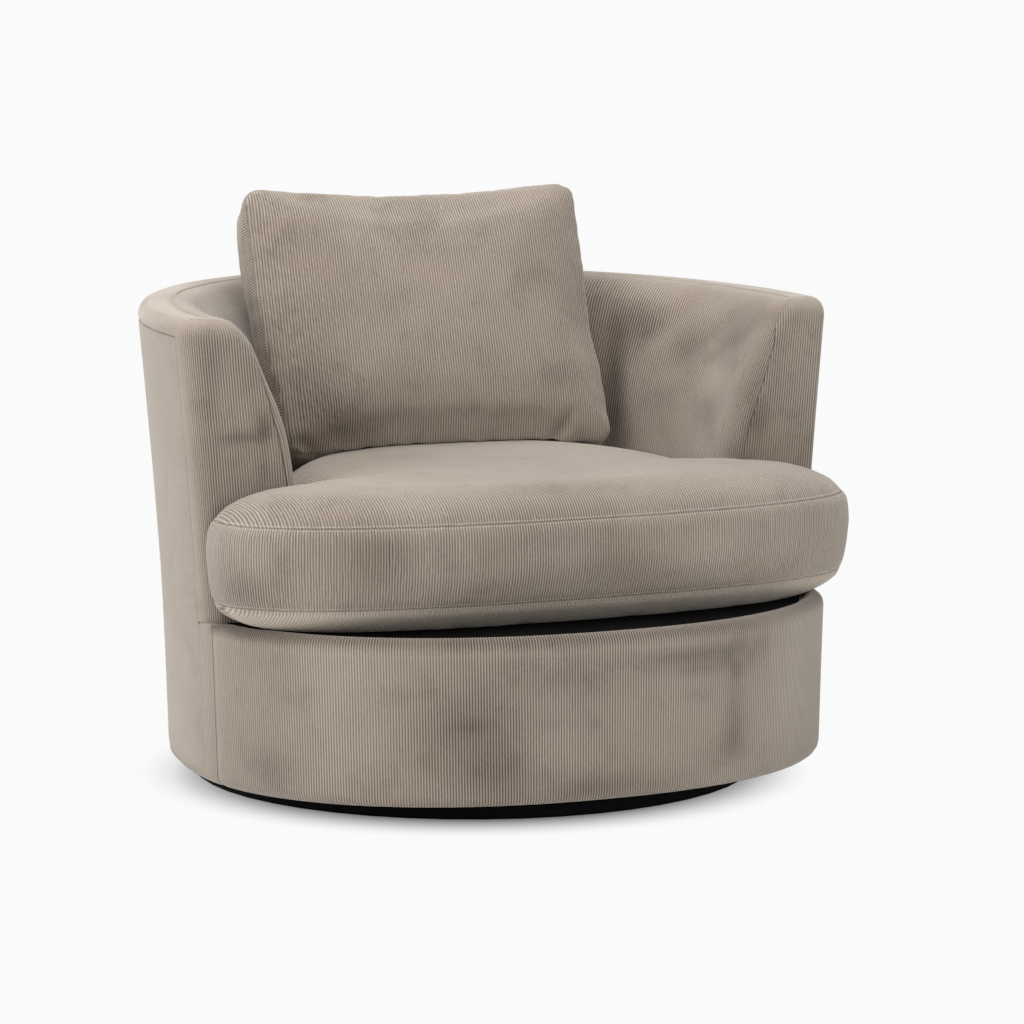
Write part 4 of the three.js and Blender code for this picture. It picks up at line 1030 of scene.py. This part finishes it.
def add_seat_cushion(material):
    rings = [cushion_ring(*share) for share in CUSHION_RING_SHARES]
    ends = [(0, CUSHION_MIDDLE_Y * MM, CUSHION_LEVELS[k] * MM) for k in (0, 3)]
    piece = ring_body("seat_cushion_cloth", rings, *ends)
    stuffed(piece, voxel=8 * MM, pressure=1.6, cap=4 * MM)
    points = places(piece) / MM
    off = points[:, :2] - (0, ZIP_MIDDLE_Y)
    reach = np.linalg.norm(off, axis=1)
    at_zip = (np.abs(np.arctan2(off[:, 0], off[:, 1])) < ZIP_HALF_ANGLE * 1.25) & (reach > ZIP_RADIUS)
    on_zip = (0, ZIP_MIDDLE_Y) + off * ZIP_RADIUS / reach[:, None]
    points[:, :2] = np.where(at_zip[:, None], on_zip, points[:, :2])
    points[:, 2] = np.maximum(points[:, 2], CUSHION_LEVELS[0])
    low, high = CUSHION_STITCHED
    outline = np.array([p[:2] for p, _ in cushion_outline(ZIP_HEIGHT)])
    around = round_outline(points[:, :2], outline)
    beyond = np.where(points[:, 2] > (low + high) / 2, points[:, 2] - high, low - points[:, 2])
    outward = read(piece.data.vertices, "normal")
    points = points + outward * (0.3 * puckers(beyond, around, 14, 0.21, (1.7, 0.013)))[:, None]
    crown = np.exp(-(points[:, 0] / 270) ** 4 - ((points[:, 1] - 70) / 190) ** 2)
    points[:, 2] += CUSHION_CROWN * crown * rise(points[:, 2], 415, 445)
    points, shade = worn_and_shaded(points, outward, 0 * around)
    # painted light on the front of the cushion's underside, below its lower seam, where the ledge shades
    # it
    underside_painted_light = (1 - rise(points[:, 2], low - 8, low)) * (points[:, 1] < FRONT_OF_ARMS_Y)
    shade = shade + 0.50 * underside_painted_light
    points = drawn_in(points, outward, beyond, 2.2, 4.5)
    points[:, 2] = np.maximum(points[:, 2], CUSHION_LEVELS[0])
    move_vertices(piece, points * MM)
    dressed(piece, np.stack([around, points[:, 0], beyond], axis=1),
            np.stack([0 * around + CUSHION_RIBS, shade, beyond], axis=1))
    subdivide_once(piece)
    return finished(piece, "seat_cushion", material, ["seat_cushion"])


PILLOW_WIDTH, PILLOW_HEIGHT, PILLOW_BORDER = 500, 412, 128
PILLOW_CROWN, PILLOW_BACK_CROWN = 34, 36
PILLOW_CORNER = 0.10     # corner radius as a share of its half width
PILLOW_SEAMS = (8, 120)  # depths of its front seam and its back one
PILLOW_FRAME = (
    Matrix.Translation((-4 * MM, 66 * MM, 452 * MM))
    @ Matrix.Rotation(math.radians(-3.7), 4, "Z") @ Matrix.Rotation(-math.radians(20.5), 4, "X")
)
# Each ring's share of the outline and its depth: 0 at the front seam, 1 at the back one
PILLOW_RING_SHARES = [
    (0.2, -0.98), (0.5, -0.88), (0.72, -0.66), (0.88, -0.34), (0.955, -0.12), (0.985, 0), (1, 0.1),
    (1, 0.3), (0.995, 0.5), (1, 0.7), (1, 0.9), (0.985, 1), (0.955, 1.3), (0.87, 1.7), (0.7, 1.98),
    (0.3, 2)]


def table(pairs):
    """Like smooth_curve, for many places at once."""
    curve = smooth_curve(pairs)
    ends = [place for place, _ in pairs]
    known = np.linspace(min(ends), max(ends), 80)
    values = [curve(place) for place in known]
    return lambda place: np.interp(place, known, values)


# The pillow's left and right edges by height, at its front seam and at its back one, and its
# top edge by width, all from the middle of its face
PILLOW_LEFT = (
    table([(-206, -247), (-123, -256), (-69, -266), (-42, -269), (45, -273), (146, -274), (206, -270)]),
    table([(-206, -238), (0, -242), (141, -246), (206, -246)]),
)
PILLOW_RIGHT = (
    table([(-206, 259), (-169, 262), (-100, 262), (-38, 255), (78, 256), (149, 255), (206, 251)]),
    table([(-206, 246), (206, 236)]),
)
PILLOW_TOP = table(
    [(-274, 207), (-200, 202), (-137, 198), (-60, 193), (2, 193), (129, 198), (221, 205), (256, 206)])
PILLOW_FOOT = 206


def pillow_edges(v, depth):
    back_share = np.clip(depth / PILLOW_BORDER, 0, 1)
    up = v * PILLOW_FOOT
    return [lerp(front(up), back(up), back_share) for front, back in (PILLOW_LEFT, PILLOW_RIGHT)]


def pillow_point(u, v, depth):
    """u and v go from -1 to 1 across and up the pillow."""
    left, right = pillow_edges(v, depth)
    across = lerp(left, right, (u + 1) / 2)
    up = v * (PILLOW_TOP(across) if v > 0 else PILLOW_FOOT)
    return tuple(PILLOW_FRAME @ (Vector((across, depth, up + PILLOW_HEIGHT / 2)) * MM))


def pillow_shares(local):
    """The u and v of points given by across, depth and up from the middle of the face."""
    across, depth, up = local.T
    v = up / np.where(up > 0, PILLOW_TOP(across), PILLOW_FOOT)
    left, right = pillow_edges(v, depth)
    return (across - left) / (right - left) * 2 - 1, v


def pillow_plan():
    """Its outline in u and v: a square with rounded corners."""
    straight = 1 - PILLOW_CORNER
    outline = []
    for k, corner in enumerate([(1, 1), (-1, 1), (-1, -1), (1, -1)]):
        bend = [straight * np.array(corner) + PILLOW_CORNER * np.array([math.cos(turn), math.sin(turn)])
                for turn in math.pi / 2 * (k + np.linspace(0, 1, 7))]
        turn = math.pi / 2 * (k + 1)
        way = np.array([-math.sin(turn), math.cos(turn)])
        side = [bend[-1] + way * 2 * straight * share for share in np.linspace(0, 1, 16)[1:-1]]
        outline += bend + side
    return np.array(outline)


PILLOW_ZIP_UP = 135.2
ZIP_SINK = 1.3           # from the fullest depth of the pillow's back to its zip
# Tucks in the pillow's front, in (across, up) from its middle, and each one's width and depth
PILLOW_FOLDS = [
    ((158, -196), (186, -158), 7, 5.0),
    ((172, -204), (196, -176), 9, -2.6),
    ((-238, -178), (-206, -200), 9, 6.0),
    ((-60, -204), (-50, -182), 8, 2.2),
    ((-130, -206), (-126, -188), 7, 1.8),
    ((60, -206), (72, -184), 8, 2.0),
    ((-236, 176), (-210, 150), 14, 1.8),
    ((232, 60), (236, -40), 12, 2.0),
]


def folded(points, outward, shade, local, start, end, width, depth):
    """Presses one tuck into the face, from its line in the face's own plane, and paints shade into
    its crease, darker the deeper it is.
    """
    flat = local[:, :2]
    way = np.subtract(end, start).astype(float)
    share = np.clip(((flat - np.array(start)) @ way) / (way @ way), 0, 1)
    away = np.linalg.norm(flat - (np.array(start) + share[:, None] * way), axis=1)
    crease = np.exp(-(away / width) ** 2) * np.sin(np.pi * (0.2 + 0.7 * share)) * (local[:, 2] < 30)
    return points - outward * (depth * crease)[:, None], shade - 0.03 * depth * crease


def add_back_pillow(material, supports):
    plan = pillow_plan()

    def depth(step):
        return (min(step, 0) * PILLOW_CROWN + min(max(step, 0), 1) * PILLOW_BORDER
                + max(step - 1, 0) * PILLOW_BACK_CROWN)

    rings = [[pillow_point(x * share, y * share, depth(step)) for x, y in plan]
             for share, step in PILLOW_RING_SHARES]
    ends = [pillow_point(0, 0, depth(step)) for step in (-1, 2)]
    piece = ring_body("back_pillow_cloth", rings, *ends)
    stuffed(piece, voxel=7 * MM, pressure=1.8, cap=5 * MM)
    pushed_clear(piece, supports, 0.6 * MM)
    inverse = np.array(PILLOW_FRAME.inverted())
    points = places(piece)
    local = (points @ inverse[:3, :3].T + inverse[:3, 3]) / MM
    across, up = local[:, 0], local[:, 2] - PILLOW_HEIGHT / 2
    u, v = pillow_shares(np.stack([across, local[:, 1], up], axis=1))
    half_size = np.array([PILLOW_WIDTH, PILLOW_HEIGHT]) / 2
    around = round_outline(np.stack([u, v], axis=1) * half_size, plan * half_size)
    front, back = PILLOW_SEAMS
    beyond = np.where(local[:, 1] < 60, front - local[:, 1], local[:, 1] - back)
    outward = read(piece.data.vertices, "normal")
    flat_depth = depth(2) - ZIP_SINK - 0.1
    at_zip = (np.abs(up - PILLOW_ZIP_UP) < 26) & (np.abs(across) < 170)
    local[:, 1] = np.where(at_zip, np.minimum(local[:, 1], flat_depth), local[:, 1])
    matrix = np.array(PILLOW_FRAME)
    points = (local * MM) @ matrix[:3, :3].T + matrix[:3, 3]
    waves = 0.5 * puckers(beyond, around, 16, 0.16, (2.1, 0.011))
    points = points / MM + outward * waves[:, None]
    shade = 0 * around
    for start, end, width, deep in PILLOW_FOLDS:
        points, shade = folded(points, outward, shade, np.stack([across, up, local[:, 1]], axis=1),
                               start, end, width, deep)
    points, shade = worn_and_shaded(points, outward, shade)
    points = drawn_in(points, outward, beyond, 2.4, 4.5)
    move_vertices(piece, points * MM)
    dressed(piece, np.stack([around, across, beyond], axis=1),
            np.stack([0 * around + PILLOW_RIBS, shade, beyond], axis=1))
    subdivide_once(piece)
    return finished(piece, "back_pillow", material, ["back_pillow"])


# ---------------------------------------------------------------- zips

def add_zip(name, body, material, line, side, out):
    """A coil zip: its tape and two rows of teeth along a line of points, in millimetres. side and
    out are the directions across the tape and away from the cloth at each point."""
    tape, thick, teeth, pitch = 11, 0.4, 2.4, 2.6
    vertices, faces = [], []

    def block(corners):
        base = len(vertices)
        vertices.extend(tuple(np.array(c) * MM) for c in corners)
        for face in ((0, 1, 2, 3), (7, 6, 5, 4), (0, 4, 5, 1), (1, 5, 6, 2), (2, 6, 7, 3), (3, 7, 4, 0)):
            faces.append(tuple(base + k for k in face))

    along = lengths(line)
    count = int(along[-1] / pitch)
    for k in range(count):
        def at(distance):
            return [np.array([np.interp(distance, along, column) for column in values.T])
                    for values in (line, side, out)]
        (p, s, o), (q, t, u) = at(k * pitch), at((k + 1) * pitch)
        foot = np.array([p - s * tape, p + s * tape, q + t * tape, q - t * tape])
        block([*foot, *(foot + np.array([o, o, u, u]) * thick)])
        (p, s, o), (q, t, u) = at((k + 0.12) * pitch), at((k + 0.62) * pitch)
        for way in (-1, 1):
            shift = (q - p) * (0.5 if way > 0 else 0) * 0.9
            a, b = p + shift + o * thick, q + shift + u * thick
            foot = np.array([a, a + s * way * teeth, b + t * way * teeth, b])
            block([*foot, *(foot + np.array([o * 0.9, o * thick, u * thick, u * 0.9]))])
    finished(piece_of_faces(name, vertices, faces, merged=1e-6), body, material)


def add_zips(material):
    turns = np.linspace(-ZIP_HALF_ANGLE * 1.06, ZIP_HALF_ANGLE * 1.06, 60)
    out = np.stack([np.sin(turns), np.cos(turns), 0 * turns], axis=1)
    line = (0, ZIP_MIDDLE_Y, ZIP_HEIGHT) + out * (ZIP_RADIUS + 0.1)
    side = np.tile((0.0, 0.0, 1.0), (len(turns), 1))
    add_zip("seat_zip_chain", "seat_cushion", material, line, side, out)
    steps = np.linspace(-150, 150, 30)
    turned = np.array(PILLOW_FRAME)[:3, :3]
    top = PILLOW_BORDER + PILLOW_BACK_CROWN
    up = PILLOW_ZIP_UP + PILLOW_HEIGHT / 2
    line = np.array([tuple(PILLOW_FRAME @ (Vector((x, top - ZIP_SINK, up)) * MM)) for x in steps]) / MM
    side = np.tile(turned @ (0, 0, 1), (len(steps), 1))
    out = np.tile(turned @ (0, 1, 0), (len(steps), 1))
    add_zip("pillow_zip_chain", "back_pillow", material, line, side, out)


# ---------------------------------------------------------------- finishes of the other nodes

def add_simple_finishes():
    """Procedural materials for the boards, metal, nylon and inner cloth."""

    def grain(name, light, dark, stretch, rough, shine=0.5):
        finish = Finish(name, Roughness=rough, Specular_IOR_Level=shine)
        place = finish.place()
        lines = finish.noise(finish.stretched(place, stretch), 1, 5, 0.6)
        tone = finish.mix(lines.step(0.3, 0.7), dark, light)
        speck = finish.noise(place, 400, 2)
        finish.set("Base Color", finish.mix(speck.step(0.5, 0.75) * 0.25, tone, dark))
        finish.bump(lines + speck * 0.3, 0.0003, 0.5)
        return finish.material

    def metal(name, tone, rough):
        finish = Finish(name, Metallic=1.0)
        place = finish.place()
        brushed = finish.noise(finish.stretched(place, (900, 60, 60)), 1, 3)
        cloud = finish.noise(place, 30, 2)
        finish.set("Base Color", finish.mix(cloud.step(0.3, 0.8), tone, tuple(0.8 * c for c in tone)))
        finish.set("Roughness", brushed * 0.2 + rough)
        finish.bump(brushed, 0.0001, 0.4)
        return finish.material

    def fibre(name, light, dark, scale, rough=0.95):
        finish = Finish(name, Roughness=rough, Specular_IOR_Level=0.06)
        place = finish.place()
        threads = finish.noise(place, scale, 3, 0.7)
        cloud = finish.noise(place, 12, 2)
        finish.set("Base Color", finish.mix((threads * 0.7 + cloud * 0.3).step(0.35, 0.65), dark, light))
        finish.bump(threads, 0.0005, 0.6)
        return finish.material

    return {
        "plywood": grain("plywood", (0.58, 0.40, 0.22), (0.44, 0.28, 0.14), (6, 40, 260), 0.7),
        "hardboard": grain("hardboard", (0.25, 0.15, 0.08), (0.18, 0.10, 0.05), (200, 200, 200), 0.6),
        "black_board": grain("black_board", (0.005,) * 3, (0.002,) * 3, (8, 90, 300), 0.8, 0.1),
        "steel": metal("steel", (0.56, 0.58, 0.60), 0.28),
        "zip_steel": metal("zip_steel", (0.30, 0.29, 0.27), 0.35),
        "nylon": fibre("nylon", (0.70, 0.70, 0.66), (0.62, 0.62, 0.58), 300, 0.5),
        "black_cloth": fibre("black_cloth", (0.012, 0.012, 0.013), (0.004, 0.004, 0.005), 700),
        "foam": fibre("foam", (0.78, 0.72, 0.54), (0.66, 0.60, 0.44), 1200),
        # the deck cloth is made nearly black: painted shade for the dark gap between the cushion and the
        # ledge
        "deck_cloth": fibre("deck_cloth", (0.004, 0.004, 0.0035), (0.0015,) * 3, 800),
        "zip_tape": fibre("zip_tape", (0.20, 0.17, 0.14), (0.11, 0.09, 0.07), 1500),
    }


FLOOR_LIT_REACH = (0.33, 0.50)   # where the lit floor fades into the plain backdrop, from the axis
FLOOR_SHOWN = 0.47               # the lit floor's colour where the camera looks, to match the backdrop


def add_floor():
    bpy.ops.object.select_all(action="DESELECT")
    bpy.ops.mesh.primitive_plane_add(size=2 * FLOOR_HALF_WIDTH)
    floor = bpy.context.object
    floor.name = "floor"
    finish = Finish("floor", Roughness=1.0, Specular_IOR_Level=0.0)
    x, y, _ = finish.parts(finish.place())
    outside = ((x * x + y * y) ** 0.5).step(*FLOOR_LIT_REACH)
    seen = finish.ray("Camera")
    finish.set("Base Color", finish.mix(seen, (0.8, 0.8, 0.8), (FLOOR_SHOWN,) * 3))
    plain = finish.node("ShaderNodeEmission", None, Color=BACKDROP, Strength=1.0)
    lit = Value(finish, finish.shader.outputs[0])
    mixed = finish.node("ShaderNodeMixShader", None, seen * outside, lit, plain)
    finish.tree.links.new(mixed.link, finish.tree.nodes["Material Output"].inputs["Surface"])
    floor.data.materials.append(finish.material)


WORLD_LIGHT = 0.52


def add_world():
    world = bpy.data.worlds.new("studio")
    bpy.context.scene.world = world
    world.use_nodes = True
    world.node_tree.nodes.clear()
    graph = Graph(world.node_tree)
    light = graph.node("ShaderNodeBackground", None, Color=(0.98, 0.99, 1), Strength=WORLD_LIGHT)
    shown = graph.node("ShaderNodeBackground", None, Color=BACKDROP)
    camera, glossy, through = (graph.ray(kind) for kind in ("Camera", "Glossy", "Transmission"))
    plain = camera.math("MAXIMUM", camera, glossy.math("MAXIMUM", glossy, through))
    mixed = graph.node("ShaderNodeMixShader", None, plain, light, shown)
    out = graph.tree.nodes.new("ShaderNodeOutputWorld")
    graph.tree.links.new(mixed.link, out.inputs["Surface"])


# ---------------------------------------------------------------- the whole chair

add_camera()
add_world()
add_floor()
add_lamps()
bpy.context.scene.view_settings.view_transform = "Standard"

cloth = corduroy("corduroy", light_stitches=False)
stitched_cloth = corduroy("stitched_corduroy", light_stitches=True)
looks = add_simple_finishes()
for row in frame["record"]["subparts"]:
    node = frame["nodes"].get(row["node"])
    if node is not None:
        node.data.materials.clear()
        node.data.materials.append(looks.get(row["material_slot"], cloth))

add_outer_cloth(cloth)
add_rim_band(cloth)
inner_cloth = add_inner_cloth(cloth)
add_arm_fronts(cloth)
add_front(cloth)
add_deck_and_foam(looks)
seat = add_seat_cushion(stitched_cloth)
add_back_pillow(cloth, [seat, inner_cloth])
add_zips(looks["zip_tape"])
